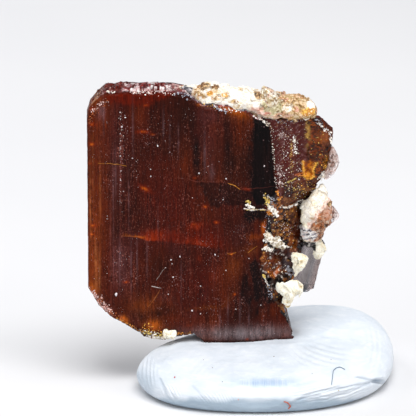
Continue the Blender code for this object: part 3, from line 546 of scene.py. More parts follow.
CRUMBS = (  # route, count, spread, least and greatest radius, kind: broken grains lying on the plate; the small pale ones strewn wide over the shelf and slope also stand for painted glints
    (((1.68, 16.1), (1.86, 14.4), (1.98, 13.0), (2.1, 12.0)), 110, 0.045, 0.008, 0.028, "white"),
    (((0.24, 11.25), (0.78, 11.06)), 34, 0.072, 0.03, 0.078, "white"),
    (((0.2, 10.94), (0.84, 10.95), (1.4, 10.86)), 24, 0.03, 0.016, 0.036, "yellow"),
    (((0.24, 11.5), (0.48, 11.38)), 14, 0.06, 0.03, 0.06, "yellow"),
    (((1.62, 11.1), (1.9, 10.85), (2.05, 10.6)), 110, 0.11, 0.04, 0.09, "white"),
    (((1.5, 10.72), (1.75, 10.62)), 40, 0.08, 0.03, 0.06, "amber"),
    (((1.32, 11.85), (1.56, 11.22)), 30, 0.12, 0.03, 0.072, "yellow"),
    (((1.5, 11.69), (1.98, 11.13)), 60, 0.2, 0.018, 0.05, "glass"),
    (((2.04, 12.01), (2.22, 11.63)), 16, 0.072, 0.042, 0.084, "amber"),
    (((2.28, 11), (2.88, 10.88), (3.6, 11.13)), 70, 0.06, 0.024, 0.072, "white"),
    (((1.38, 9.34), (1.98, 8.84), (2.52, 8.46)), 90, 0.09, 0.024, 0.09, "white"),
    (((1.5, 9.47), (1.44, 8.9)), 30, 0.10, 0.024, 0.06, "white"),
    (((1.26, 8.46), (1.86, 8.4)), 90, 0.07, 0.03, 0.08, "white"),
    (((2.52, 8.43), (3, 8.24)), 24, 0.036, 0.024, 0.06, "white"),
    (((1.2, 7.96), (1.56, 7.52), (1.68, 7.08)), 24, 0.17, 0.012, 0.035, "amber"),
    (((1.5, 7.05), (1.98, 6.55)), 16, 0.06, 0.02, 0.045, "amber"),
    (((-7.2, 17.0), (-7.16, 15.7), (-7.27, 14.6)), 24, 0.07, 0.006, 0.022, "white"),
    (((-7.22, 16.0), (-7.27, 13.6)), 30, 0.05, 0.006, 0.018, "speck"),
    (((-7.27, 13.6), (-7.3, 11.2)), 40, 0.05, 0.006, 0.02, "speck"),
    (((1.26, 6.83), (1.38, 6.64)), 18, 0.042, 0.036, 0.066, "yellow"),
    (((1.32, 6.7), (1.62, 6.01)), 30, 0.03, 0.018, 0.042, "white"),
    (((2.7, 7.05), (3.06, 6.61)), 40, 0.12, 0.042, 0.11, "glass"),
    (((1.56, 6.17), (1.86, 5.23)), 40, 0.12, 0.018, 0.048, "glass"),
    (((3.54, 8.31), (4.32, 8.25)), 60, 0.156, 0.048, 0.114, "black"),
    (((1.98, 16.15), (2.1, 14.52), (2.28, 12.38)), 60, 0.3, 0.008, 0.026, "speck"),
    (((2.76, 16.15), (2.88, 14.52), (3, 12.38)), 80, 0.36, 0.008, 0.026, "speck"),
    (((3.48, 16.15), (3.48, 14.52), (3.6, 12.38)), 50, 0.24, 0.008, 0.026, "speck"),
    (((2.22, 15.52), (2.58, 15.27)), 40, 0.13, 0.014, 0.045, "speck"),
    (((3.06, 15.27), (3.18, 14.77), (3.18, 14.2)), 60, 0.085, 0.016, 0.05, "white"),
    (((2.16, 13.6), (2.34, 12.29)), 110, 0.17, 0.012, 0.045, "speck"),
    (((2.64, 12.51), (2.94, 12.57), (3.24, 12.76)), 26, 0.03, 0.024, 0.048, "yellow"),
    (((2.94, 15.14), (2.94, 13.14)), 60, 0.07, 0.010, 0.03, "yellow"),
    (((3.84, 16.4), (3.84, 15.14)), 24, 0.054, 0.010, 0.03, "yellow"),
    (((4.62, 12.57), (5.04, 12.89), (5.4, 13.08)), 56, 0.12, 0.042, 0.102, "white"),
    (((4.1, 16.5), (4.8, 16.0), (5.3, 15.35), (5.4, 14.4)), 60, 0.07, 0.02, 0.06, "glass"),
    (((4.5, 16.1), (5.25, 15.4), (5.35, 14.7)), 60, 0.07, 0.018, 0.065, "white"),
    (((1.7, 10.3), (2.8, 9.0)), 50, 0.55, 0.010, 0.036, "white"),
    (((2.3, 12.5), (4.1, 11.5)), 50, 0.4, 0.010, 0.036, "white"),
    (((2.0, 16.25), (3.6, 16.3)), 50, 0.09, 0.012, 0.036, "glass"),
    (((1.5, 8.1), (2.8, 6.7)), 40, 0.40, 0.012, 0.060, "white"),
    (((2.2, 15.8), (2.6, 12.6)), 46, 0.3, 0.012, 0.040, "white"),
    (((3.1, 15.8), (3.3, 12.6)), 46, 0.3, 0.012, 0.040, "white"),
    (((4.6, 15.6), (4.6, 13.4)), 40, 0.4, 0.012, 0.034, "yellow"),
    (((3.66, 13.8), (3.70, 13.3), (3.76, 12.82)), 30, 0.03, 0.012, 0.034, "honey"),
    (((3.78, 12.78), (4.05, 12.68), (4.26, 12.9), (4.26, 13.2), (4.42, 13.75)), 70, 0.06, 0.012, 0.04, "honey"),
    (((3.36, 12.85), (3.84, 12.98)), 20, 0.048, 0.024, 0.048, "amber"),
    (((-9.06, 5.72), (-8.54, 5.05), (-7.94, 4.45)), 170, 0.20, 0.018, 0.066, "pink"),
    (((-8.95, 5.5), (-8.1, 4.6), (-7.3, 4.0)), 90, 0.16, 0.020, 0.07, "russet"),
    (((-7.44, 4.0), (-6.84, 3.62), (-6.0, 3.2)), 70, 0.11, 0.020, 0.06, "amber"),
    (((-5.76, 2.88), (-4.32, 2.78), (-3.48, 2.88)), 90, 0.072, 0.03, 0.072, "white"),
    (((-2.76, 17.87), (-2.1, 17.56), (-1.2, 17.18), (-0.12, 17.05)), 56, 0.08, 0.018, 0.056, "white"),
    (((-2.28, 17.62), (-0.96, 17.05)), 60, 0.08, 0.024, 0.060, "glass"),
    (((-2.4, 17.6), (-1.5, 17.2)), 24, 0.07, 0.016, 0.044, "honey"),
    (((0.3, 17.09), (1.26, 16.74), (2.1, 16.55), (3, 16.8)), 110, 0.03, 0.018, 0.042, "pink"),
    (((3, 16.71), (3.48, 16.59), (3.96, 16.34)), 60, 0.09, 0.03, 0.072, "white"),
    (((0.72, 16.77), (1.2, 16.46), (1.56, 16.08)), 60, 0.06, 0.024, 0.06, "white"),
    (((-8.04, 18.22), (-7.56, 18.18)), 24, 0.054, 0.024, 0.06, "white"),
    (((-6.96, 18.22), (-5.52, 18.18), (-4.08, 18.15)), 20, 0.10, 0.021, 0.064, "white"),
    (((-9.0, 16.7), (-8.6, 17.2), (-8.0, 17.7)), 46, 0.22, 0.012, 0.040, "russet"),
    (((-8.8, 17.0), (-8.0, 17.8)), 14, 0.18, 0.012, 0.035, "pink"),
    (((-6.72, 18.25), (-4.2, 18.25)), 70, 0.144, 0.024, 0.06, "pink"),
    (((-3.96, 18.09), (-2.88, 17.97)), 40, 0.12, 0.03, 0.066, "glass"),
    (((1.5, 11.6), (1.5, 9.6)), 70, 0.22, 0.012, 0.035, "glass"),
    (((2.4, 10.57), (3, 8.81)), 60, 0.42, 0.010, 0.03, "speck"),
    (((1.68, 10.38), (2.88, 8.5)), 22, 0.48, 0.010, 0.04, "yellow"),
    (((2.4, 12.45), (4.2, 11.32)), 70, 0.42, 0.012, 0.040, "yellow"),
    (((2.5, 12.4), (3.9, 11.5)), 60, 0.40, 0.016, 0.050, "black"),
    (((3.2, 12.3), (4.4, 12.2)), 30, 0.22, 0.014, 0.040, "honey"),
    (((4.9, 13.9), (5.1, 12.9)), 30, 0.12, 0.014, 0.040, "honey"),
    (((3.6, 10.47), (3.72, 9.34)), 40, 0.06, 0.03, 0.078, "yellow"),
    (((-6.0, 3.2), (-5.2, 3.05), (-4.9, 3.0)), 60, 0.13, 0.02, 0.06, "yellow"),
    (((-6.2, 3.25), (-5.1, 3.0)), 50, 0.13, 0.015, 0.055, "white"),
    (((-3.95, 3.1), (-3.1, 2.98)), 40, 0.10, 0.02, 0.055, "amber"),
    (((-5.9, 3.5), (-4.9, 3.3)), 30, 0.20, 0.015, 0.05, "honey"),
    (((-9.1, 16.2), (-8.95, 16.8), (-8.5, 17.3)), 50, 0.10, 0.018, 0.05, "russet"),
    (((-8.9, 17.0), (-8.2, 17.75)), 30, 0.10, 0.015, 0.05, "pink"),
)

# --- the brookite plate's mesh --------------------------------------------------------------------

UPRIGHT_COLUMNS, FAN_COLUMNS, SIDE_COLUMNS = 182, 70, 9
FRONT_ROWS, TOP_ROWS, BACK_ROWS, FOOT_ROWS = 280, 22, 26, 5


def facets(x, y, z, size, seed):
    """Crumbly flat facets: at each point the height, -1 to 1, of the nearest random cell's tilted flat, and its number."""
    i, j, k = (np.floor(axis / size).astype(np.int64) for axis in (x, y, z))
    nearest, height, number = (np.full(np.shape(x), value) for value in (99.0, 0.0, 0.0))
    for di, dj, dk in itertools.product((-1, 0, 1), repeat=3):
        cell = (i + di, j + dj, k + dk)
        away = [axis / size - part - hashed(*cell, seed + n) for n, (axis, part) in enumerate(zip((x, y, z), cell))]
        distance = sum(part**2 for part in away)
        tilt = [hashed(*cell, seed + 5 + n) - 0.5 for n in range(3)]
        level = 1.2 * (hashed(*cell, seed + 9) - 0.5) + 1.3 * sum(a * b for a, b in zip(away, tilt))
        closer = distance < nearest
        nearest = np.where(closer, distance, nearest)
        height = np.where(closer, level, height)
        number = np.where(closer, hashed(*cell, seed + 11), number)
    return height, number


def layer_end(z):
    """x where the front layer is broken off at height z, with a toothed edge."""
    return read(FRONT_LAYER_END, z) + 0.07 * noise(z, 0, 0, 0.27, 71) + 0.04 * noise(z, 0, 0, 0.09, 72)


def striations(x, z, seed):
    """Upright ridges of three widths, each |noise| so that it has a sharp crest; about 0 to 0.1 mm deep."""
    ridges = 0.07 * np.abs(noise(x, 0.12 * z, 0, 0.85, seed)) + 0.035 * np.abs(noise(x, 0.08 * z, 0, 0.26, seed + 1))
    ridges += 0.012 * np.abs(noise(x, 0.06 * z, 0, 0.13, seed + 2))
    return ridges


def break_depth(x, z):
    """Depth behind FRONT right of the front layer: the shelf above SHELF_BOTTOM, below it the ragged slope."""
    past = x - layer_end(z)
    knobs, _ = facets(x, 0 * x, z, 0.42, 35)
    chips, _ = facets(x, 0 * x, 0.55 * z, 0.30, 32)
    shelf = SHELF_DEPTH + SHELF_FALL * past + 0.05 * noise(x, 0.1 * z, 0, 0.35, 31) + 0.035 * chips
    shelf = shelf + ramp(x, 3.6, 4.0) * (0.16 * knobs + 0.05)
    shelf = shelf + 0.28 * ramp(x, read(RIGHT_EDGE, z) - 0.55, read(RIGHT_EDGE, z))
    share = np.clip(past / (SLOPE_FAR - read(FRONT_LAYER_END, z)), 0, 1) ** (1 / SLOPE_CURVE)
    lumps, _ = facets(x, 0 * x, 0.7 * z, 0.80, 33)
    crumbs, _ = facets(x, 0 * x, z, 0.34, 34)
    grit, _ = facets(x, 0 * x, z, 0.17, 37)
    slope = share * (THICKNESS - SLOPE_FLAT_BACK) + 0.30 * lumps + 0.15 * crumbs + 0.05 * grit + 0.14
    share = ramp(z + 0.08 * noise(x, 0, 0, 0.3, 36), SHELF_BOTTOM - 1.4 * ramp(x, 2.2, 2.6), SHELF_BOTTOM)
    return past, slope + (shelf - slope) * share


def front_depth(x, z):
    """How far the front surface lies behind FRONT at x, z, in mm."""
    side = SIDE_BEVEL_DEPTH * np.clip((LEFT + SIDE_BEVEL_WIDTH - x) / SIDE_BEVEL_WIDTH, 0, 1)
    band = BAND_DEPTH * np.clip((x - BAND_START) / (BAND_END - BAND_START), 0, 1)
    foot = FOOT_CURVE * np.maximum(0, FOOT_TOP - z) ** 2
    steps = sum(height * ramp(x + 0.02 * z, start - 0.02, start + 0.05) for start, height in GROWTH_STEPS)
    depth = side + band + foot + steps + striations(x, z, 21)
    lip = np.minimum(read(UPPER_EDGE, x) - z, z - read(LOWER_EDGE, x) + 0.3 * ramp(x, -2.4, -2.0))
    chips, _ = facets(x, 0 * x, z, 0.3, 24)
    depth += (0.10 + 0.20 * np.abs(chips)) * (1 - ramp(lip, 0.0, 0.30))
    crags, _ = facets(x, 0 * x, z, 0.36, 25)
    corner = spot(x, z, (-8.3, 4.8), (1.3, 0.45), -38) + spot(x, z, (-5.4, 3.1), (1.6, 0.35))
    depth += corner * (0.10 + 0.16 * crags) + 0.03 * ramp(z, 8.7, 8.76) * spot(x, z, (-4.0, 9.4), (2.6, 0.7))
    past, broken = break_depth(x, z)
    return np.where(past > 0, np.maximum(broken, depth * (1 - ramp(past, 0, 0.6))), depth)


def back_depth(x, z):
    """How far the back surface lies in front of BACK: a striated face with growth steps of its own."""
    steps = 0.05 * ramp(x, -5.6, -5.5) - 0.06 * ramp(x, -1.2, -1.1) + 0.08 * ramp(x, 1.4, 1.5)
    chips, _ = facets(x, 0 * x, z, 0.4, 44)
    lip = np.minimum(read(UPPER_EDGE, x) - z, z - read(LOWER_EDGE, x))
    return 0.03 + steps + striations(x, z, 41) + (0.08 + 0.14 * np.abs(chips)) * (1 - ramp(lip, 0.0, 0.3))


def plate_grid(column, share):
    """x and z at a column from 0 to 1 across the plate and a share of its height.

    Columns left of STRAIGHT_COLUMNS_END stand upright. Right of it they fan out, from the foot's
    width at the bottom to the broken side's x at each height.
    """
    split = UPRIGHT_COLUMNS / (UPRIGHT_COLUMNS + FAN_COLUMNS)
    upright = LEFT + (STRAIGHT_COLUMNS_END - LEFT) * np.minimum(column / split, 1)
    fan = np.maximum(0, (column - split) / (1 - split))
    foot_x = upright + (LOWER_EDGE[-1][0] - STRAIGHT_COLUMNS_END) * fan
    top_x = upright + (UPPER_EDGE[-1][0] - STRAIGHT_COLUMNS_END) * fan
    low, high = read(LOWER_EDGE, foot_x), read(UPPER_EDGE, top_x)
    side_z = LOWER_EDGE[-1][1] + (UPPER_EDGE[-1][1] - LOWER_EDGE[-1][1]) * share
    side_x = read(RIGHT_EDGE, side_z) + 0.06 * noise(side_z, 0, 0, 0.35, 51)
    return upright + (side_x - STRAIGHT_COLUMNS_END) * fan, low + (high - low) * share


def brookite_points():
    """Upright closed loops, one a column: up the front, over the top, down the back and under the foot.

    On both sides the loops draw in to a thin slit, so that the side faces are part of them.
    """
    columns = np.linspace(0, 1, UPRIGHT_COLUMNS + FAN_COLUMNS)
    inward = np.linspace(0, 1, SIDE_COLUMNS + 1)[1:]
    column = np.concatenate([0 * inward, columns, 0 * inward + 1])[:, None]
    closing = np.concatenate([inward[::-1], 0 * columns, inward])[:, None]
    up = np.linspace(0, 1, FRONT_ROWS)[None, :]
    down = np.linspace(1, 0, BACK_ROWS)[None, :]
    front_x, front_z = plate_grid(column, up)
    back_x, back_z = plate_grid(column, down)
    back_y = np.maximum(BACK - back_depth(back_x, back_z), 0)
    front_y = np.minimum(FRONT + front_depth(front_x, front_z), BACK - 0.35)
    over = np.linspace(0, 1, TOP_ROWS + 2)[None, 1:-1]
    top_x = front_x[:, -1:] + (back_x[:, :1] - front_x[:, -1:]) * over
    top_y = front_y[:, -1:] + (back_y[:, :1] - front_y[:, -1:]) * over
    knobs, _ = facets(top_x, top_y, 0 * top_x, 0.42, 61)
    crumbs, _ = facets(top_x, top_y, 0 * top_x, 0.17, 62)
    top_z = front_z[:, -1:] + (0.17 * knobs + 0.07 * crumbs - 0.02) * np.minimum(1, 6 * over * (1 - over))
    under = np.linspace(1, 0, FOOT_ROWS + 2)[None, 1:-1]
    foot_x = np.broadcast_to(front_x[:, :1], (len(column), FOOT_ROWS))
    foot_y = front_y[:, :1] + (back_y[:, -1:] - front_y[:, :1]) * under
    foot_z = front_z[:, :1] + 0.08 * facets(foot_x, foot_y, 0 * foot_x, 0.4, 63)[0] * (4 * under * (1 - under))
    x = np.concatenate([front_x, top_x, back_x, foot_x], 1)
    y = np.concatenate([front_y, top_y, back_y, foot_y], 1)
    z = np.concatenate([front_z, top_z, back_z, foot_z], 1)
    middle = (front_y.mean(1, keepdims=True) + back_y.mean(1, keepdims=True)) / 2
    side = np.where(np.arange(len(column))[:, None] < SIDE_COLUMNS, -1.0, 1.0) * np.minimum(1, 8 * closing)
    flake, _ = facets(x, y + (middle - y) * closing, z, 0.45, 64)
    x = x + side * (0.02 + (0.02 + 0.07 * (side > 0)) * flake)
    y = y + (middle - y) * closing * 0.97
    return np.stack([x, y, z], -1)


def brookite_mesh():
    """The loops' points, and quads between loops; the last slit on each side is zipped shut.

    Face slots: 0 for the smooth front and back, 1 for the etched top and the broken parts.
    """
    grid = brookite_points()
    rings, around = grid.shape[:2]
    rise, over = np.linspace(0, 1, FRONT_ROWS), 1 + np.arange(1, TOP_ROWS + 1) / 1000
    back_rise, under = np.linspace(0, 1, BACK_ROWS), -np.arange(FOOT_ROWS, 0, -1) / 1000
    half = TOP_ROWS // 2
    near = np.arange(FRONT_ROWS + half)
    far = np.arange(around - 1, FRONT_ROWS + half - 1, -1)
    near_share = np.concatenate([rise, over[:half]])
    far_share = np.concatenate([under, back_rise, over[half:][::-1] - 0.0125])
    lid = zip_faces(near, near_share, far, np.sort(far_share))
    faces = [grid_quads(rings, around, True), lid[:, ::-1], lid + (rings - 1) * around]
    points = grid.reshape(-1, 3)
    quads = points[faces[0]].mean(1)
    x, y, z = quads.T
    rough = (x > layer_end(z)) & (y < 1.2) | (z > read(UPPER_EDGE, x) - 0.06) | (z < read(LOWER_EDGE, x) + 0.1)
    slots = np.concatenate([rough.astype(int), np.ones(2 * len(lid), int)])
    return points, faces, slots


def tones(number, *steps):
    """Colours picked by a random number: each step is an upper limit and a screen colour."""
    limits = [limit for limit, _ in steps]
    table = np.array([colour(*shade) for _, shade in steps])
    return table[np.minimum(np.searchsorted(limits, number), len(steps) - 1)]


def blend(share, first, second):
    return first + (second - first) * np.asarray(share)[:, None]


TONES = {name: np.array(colour(*shade)) for name, shade in {  # screen colours of the crystal and what is in it
    "maroon": (62, 17, 8), "wine": (82, 19, 10), "umber": (34, 12, 6), "russet": (98, 34, 6), "brick": (92, 18, 2),
    "chestnut": (110, 48, 10), "amber brown": (124, 50, 10), "amber": (202, 98, 20), "ember": (150, 42, 6),
    "gold": (222, 150, 54), "tan": (176, 104, 56), "dark red": (54, 8, 3), "rose": (122, 62, 54), "plum": (78, 38, 38),
    "lilac": (134, 100, 104), "slate": (92, 82, 88), "treacle": (72, 34, 14), "night": (10, 7, 8), "bone": (226, 214, 208),
}.items()}


def streaked(x, z):
    """Upright streaks from 0 to 1: three widths of noise drawn out along z."""
    total = 0.45 * noise(x, 0.12 * z, 0, 0.55, 84) + 0.35 * noise(x, 0.06 * z, 0, 0.19, 85)
    return 0.5 + 0.5 * (total + 0.2 * noise(x, 0.05 * z, 0, 0.09, 86))


def add_patches(shade, x, z, patches, uneven):
    """Lays soft patches of a tone over the colours; uneven is a factor on each point's share."""
    for px, pz, rx, rz, turn, strength, tone in patches:
        share = np.clip(strength * spot(x, z, (px, pz), (rx, rz), turn) * uneven, 0, 1)
        shade = blend(share, shade, TONES[tone])
    return shade


def growth_step(x):
    """Height of the step across the face below which the light from inside stops."""
    table = ((-7.2, 9.28), (-6.18, 9.18), (-5.8, 8.98), (-4.5, 8.93), (-3.9, 8.81), (-2.55, 8.7), (-1.6, 8.42), (-1.0, 8.3))
    return read(table, x) + 0.015 * noise(x, 0, 0, 0.2, 87)


def face_colours(x, z):
    """Colours of the striated front: maroon with streaks, regions with an edge, soft patches, small gleams of painted
    glow, a painted reflection along the foot and a painted shadow line under it.
    """
    streak, mottle = streaked(x, z), noise(x, 0.7 * z, 0, 0.22, 91)
    ragged_x = x + 0.07 * noise(x, z, 0, 0.3, 88)
    ragged = z + 0.08 * noise(x, 0.1 * z, 0, 0.11, 89) + 0.06 * noise(x, z, 0, 0.5, 83)
    cloud = octaves(x, 0.5 * z, 0, 1.7, 90)
    shade = TONES["maroon"] * (0.80 + 0.40 * streak)[:, None]
    shade = blend(0.6 * ramp(cloud, 0.0, 0.7), shade, TONES["russet"])
    shade = blend(0.6 * ramp(-cloud, 0.05, 0.7), shade, TONES["umber"])
    shade = blend(0.35 * ramp(octaves(x, 0.6 * z, 0, 1.1, 74), 0.25, 0.8), shade, TONES["plum"])
    wide, narrow = [row for row in PATCHES if row[2] > 0.1], [row for row in PATCHES if row[2] <= 0.1]
    shade = add_patches(shade, x, ragged, wide, 0.75 + 0.5 * streak + 0.3 * mottle)
    lit = ramp(z, growth_step(x) - 0.03, growth_step(x) + 0.05)
    shade = add_patches(shade, x, ragged, WEDGE_PATCHES, (0.7 + 0.4 * streak + 0.3 * mottle) * lit)
    for outline, softness, strength, tone in REGIONS:
        share = strength * within(ragged_x, ragged, outline, softness)
        shade = blend(np.clip(share * (1.12 - 0.25 * streak), 0, 1), shade, TONES[tone])
    shade = add_patches(shade, x, z, narrow, 0.75 + 0.6 * mottle)
    # Painted reflection: lilac-grey streaks where the curved-back foot of the face mirrors the pale putty.
    foot = spot(x, z, (0.1, 3.08), (2.9, 0.42)) * (0.5 + 0.5 * ramp(streak, 0.25, 0.75))
    shade = blend(0.85 * foot, shade, np.array(colour(142, 128, 130)))
    # Painted shadow: a dark umber line along the bottom edge of the foot.
    shade = blend(0.8 * ramp(2.75 - z, 0, 0.2) * ramp(x, -2.4, -2.2), shade, TONES["umber"])
    for px, pz, rx, rz, turn, strength in GLEAMS:
        glow = spot(x, z + 0.05 * mottle, (px, pz), (1.15 * rx, 1.3 * rz), turn) * (0.8 + 0.4 * mottle)
        shade = blend(np.clip(0.9 * strength * glow, 0, 1), shade, TONES["ember"])
        shade = blend(strength * ramp(glow * (0.7 + 0.4 * streak), 0.5, 0.95), shade, TONES["amber"])
    return 0.92 * shade


def etched_colours(x, y, z):
    """Colours of the etched top edge: brown at the corner, then dark red, then pale, pink and violet facets."""
    cloud = octaves(x, y, z, 0.7, 81)
    grain = np.clip(0.75 * facets(x, 0.5 * y, 0.7 * z, 0.26, 82)[1] + 0.25 * facets(x, y, z, 0.11, 80)[1] + 0.22 * cloud, 0, 1)
    sparkling = tones(grain, (0.28, (84, 20, 20)), (0.42, (140, 44, 36)), (0.52, (114, 62, 74)), (0.66, (184, 122, 122)),
                      (0.80, (226, 196, 198)), (1, (252, 247, 244)))
    bare = tones(grain, (0.45, (66, 17, 14)), (0.72, (98, 30, 20)), (0.9, (124, 58, 54)), (1, (206, 170, 166)))
    corner = tones(grain, (0.4, (84, 32, 12)), (0.65, (118, 54, 22)), (0.85, (60, 20, 12)), (1, (168, 112, 76)))
    shade = blend(ramp(x, -8.5, -8.2), corner, bare)
    shade = blend(ramp(x + 0.3 * cloud, -7.2, -6.7), shade, sparkling)
    # Painted highlights: pale facets along the top ridge, and a pale spot near the left corner where the edge catches
    # the light.
    ridge = ramp(x, -7.0, -6.6) * spot(0 * x, read(UPPER_EDGE, x) - z, (0, 0.03), (1, 0.09)) * ramp(grain, 0.35, 0.6)
    shade = blend(0.5 * ridge * (1 - ramp(x, -4.2, -3.8)), shade, np.array(colour(248, 238, 236)))
    shade = blend(0.85 * spot(x, z, (-7.85, 17.98), (0.32, 0.10)), shade, np.array(colour(240, 228, 232)))
    shade = blend(0.7 * spot(x, y, (-3.65, 0.6), (0.5, 1.2)), shade, np.array(colour(176, 74, 48)))
    slate = tones(grain, (0.4, (66, 60, 74)), (0.75, (104, 98, 112)), (1, (190, 184, 194)))
    return blend(0.9 * spot(x, y, (-3.2, -0.6), (0.75, 0.5)), shade, slate)


def broken_colours(x, y, z):
    """Colours of the broken part: amber, black and dark brown flakes on the slope, maroon and amber on the shelf."""
    coarse, middle = facets(x, 0 * x, 0.7 * z, 0.80, 33)[1], facets(x, 0 * x, z, 0.34, 34)[1]
    grit, fine = facets(x, 0 * x, z, 0.17, 37)[1], facets(x, y, z, 0.09, 93)[1]
    number = 0.45 * coarse + 0.35 * middle + 0.20 * grit
    slope = tones(number, (0.30, (10, 8, 9)), (0.40, (34, 16, 10)), (0.50, (74, 32, 10)), (0.56, (26, 13, 10)),
                  (0.66, (138, 70, 18)), (0.72, (50, 22, 10)), (1, (178, 104, 40)))
    slope = add_patches(slope, x, z, BREAK_PATCHES, 0.65 + 0.6 * middle)
    glint = ramp(fine, 0.86, 0.94) * ramp(grit, 0.30, 0.55)
    slope = blend(0.85 * glint, slope, tones(coarse, (0.5, (224, 208, 198)), (1, (206, 146, 66))))
    shelf = TONES["wine"] * (0.62 + 0.5 * streaked(x + 9, z) + 0.2 * (fine - 0.5))[:, None]
    stipple = ramp(fine + 0.12 * noise(x, 0.3 * z, 0, 0.3, 79), 0.80, 0.90)
    shelf = blend(0.45 * stipple, shelf, tones(grit, (0.7, (136, 96, 96)), (1, (190, 150, 110))))
    knob = facets(x, 0 * x, z, 0.42, 35)[1]
    warm = 0.5 * knob + 0.3 * grit + 0.2 * fine
    amber = tones(warm, (0.30, (38, 12, 4)), (0.45, (70, 24, 4)), (0.58, (122, 48, 2)), (0.72, (48, 17, 4)), (1, (150, 70, 6)))
    shelf = blend(ramp(x + 0.08 * noise(z, 0, 0, 0.4, 78), 3.75, 4.0), shelf, amber)
    shelf = blend(0.9 * spot(x, z, (3.92, 15.45), (0.13, 0.72)) * ramp(grit, 0.0, 0.5), shelf, np.array(colour(196, 150, 70)))
    shelf = blend(0.55 * spot(x, z, (2.95, 14.2), (0.12, 1.0)) * ramp(grit, 0.3, 0.5), shelf, TONES["tan"])
    ragged = z + 0.06 * noise(x, z, 0, 0.15, 77)
    window = within(x, ragged, AMBER_WINDOW, 0.04)
    lit = np.clip(0.8 * grit + 0.25 + 0.7 * (13.2 - z), 0, 1)
    shelf = blend(0.9 * window, shelf, tones(lit, (0.30, (132, 62, 6)), (0.6, (206, 112, 10)), (0.8, (168, 84, 8)), (1, (244, 162, 34))))
    edge = stroke(x, ragged, (AMBER_WINDOW[0], *AMBER_WINDOW[:1:-1], (4.5, 13.7)), 0.045)
    shelf = blend(0.9 * edge, shelf, np.array(colour(250, 180, 62)))
    shelf = blend(0.7 * stroke(x, z, ((3.2, 12.95), (3.6, 13.05)), 0.06), shelf, TONES["amber"])
    shelf = blend(0.6 * spot(x, z, (5.05, 13.6), (0.18, 0.35)), shelf, np.array(colour(176, 118, 34)))
    shelf = blend(0.5 * spot(x, z, (4.4, 14.1), (0.3, 0.5)), shelf, np.array(colour(58, 26, 10)))
    shelf = blend(0.75 * spot(x, z, (4.85, 15.15), (0.42, 0.4)), shelf, np.array(colour(150, 76, 20)))
    low = (1 - ramp(z + 0.1 * knob, 12.5, 12.8)) * ramp(x, 2.3, 2.6)
    mixed = tones(0.7 * number + 0.3 * fine, (0.3, (40, 16, 12)), (0.44, (84, 34, 16)), (0.54, (54, 22, 14)), (0.66, (112, 58, 22)), (1, (134, 84, 40)))
    shelf = blend(0.85 * low, shelf, mixed)
    foot = SHELF_BOTTOM - 0.1 - 1.1 * ramp(x + 0.1 * knob, 2.2, 2.5)
    return 0.92 * blend(ramp(z + 0.08 * noise(x, 0, 0, 0.2, 38), foot - 0.05, foot + 0.05), slope, shelf)


def back_colours(x, z):
    """Colours of the striated back: streaked maroon with broad lighter and darker clouds."""
    shade = TONES["maroon"] * (0.7 + 0.6 * streaked(x + 40, z))[:, None]
    cloud = octaves(x, 0.4 * z, 0, 2.2, 94)
    shade = blend(0.8 * ramp(cloud, 0.0, 0.6), shade, TONES["russet"])
    shade = blend(0.8 * ramp(-cloud, 0.0, 0.6), shade, TONES["umber"])
    shade = blend(0.5 * ramp(-x, 7.6, 8.8), shade, TONES["amber brown"])
    return blend(0.25 * ramp(noise(x, 0.05 * z, 0, 0.2, 95), 0.2, 0.8), shade, TONES["plum"])


def brookite_masks(points):
    """The crystal's colours, and masks from 0 to 1: etched for broken parts, hazy for places with more dust and a
    stronger painted sheen.
    """
    x, y, z = points[:, 0], points[:, 1], points[:, 2]
    faced = 1 - ramp(y, 0.6, 1.0)
    broken = ramp(x - layer_end(z), -0.02, 0.03) * faced
    top = (1 - ramp(read(UPPER_EDGE, x) - z, -0.02, 0.08)) * (1 - ramp(y, BACK - 0.5, BACK - 0.2))
    under = spot(x, z, (-8.3, 4.8), (1.3, 0.30), -38) + spot(x, z, (-5.4, 3.0), (1.6, 0.25))
    mineral = blend(1 - faced, face_colours(x, z), back_colours(x, z))
    mineral = blend(broken, mineral, broken_colours(x, y, z))
    mineral = blend(top * (x < 1.2), mineral, etched_colours(x, y, z))
    ends = tones(facets(x, y, z, 0.24, 96)[1], (0.3, (150, 58, 28)), (0.5, (92, 34, 16)), (0.68, (184, 124, 116)),
                 (0.8, (220, 196, 190)), (1, (66, 26, 18)))
    mineral = blend(0.85 * np.clip(spot(x, z, (-8.55, 4.85), (1.05, 0.26), -42), 0, 1), mineral, ends)
    stone = tones(facets(x, y, z, 0.24, 96)[1], (0.4, (206, 176, 132)), (0.7, (150, 96, 46)), (1, (240, 226, 200)))
    mineral = blend(0.8 * faced * spot(x, z, (-5.0, 2.72), (1.3, 0.16)), mineral, stone)
    hazy = 0.15 + 0.85 * ramp(octaves(x, 0.5 * z, 0, 0.8, 97) + 1.5 * spot(x, z, (-7.2, 7.5), (0.5, 1.5))
                              + 0.4 * spot(x, z, (-7.4, 13.0), (0.5, 3.0)), 0.1, 0.8)
    clean = np.maximum(ramp(z, 16.9, 17.4) * (1 - ramp(x, -3.4, -3.0)), ramp(x, 0.6, 0.8) * ramp(z, 11.0, 11.3))
    hazy = hazy * (1 - clean) - 0.25 * clean * (1 - broken)
    return {"etched": np.clip(np.maximum(np.maximum(broken, top), 0.75 * under), 0, 1), "hazy": hazy, "front": faced, "mineral": mineral}


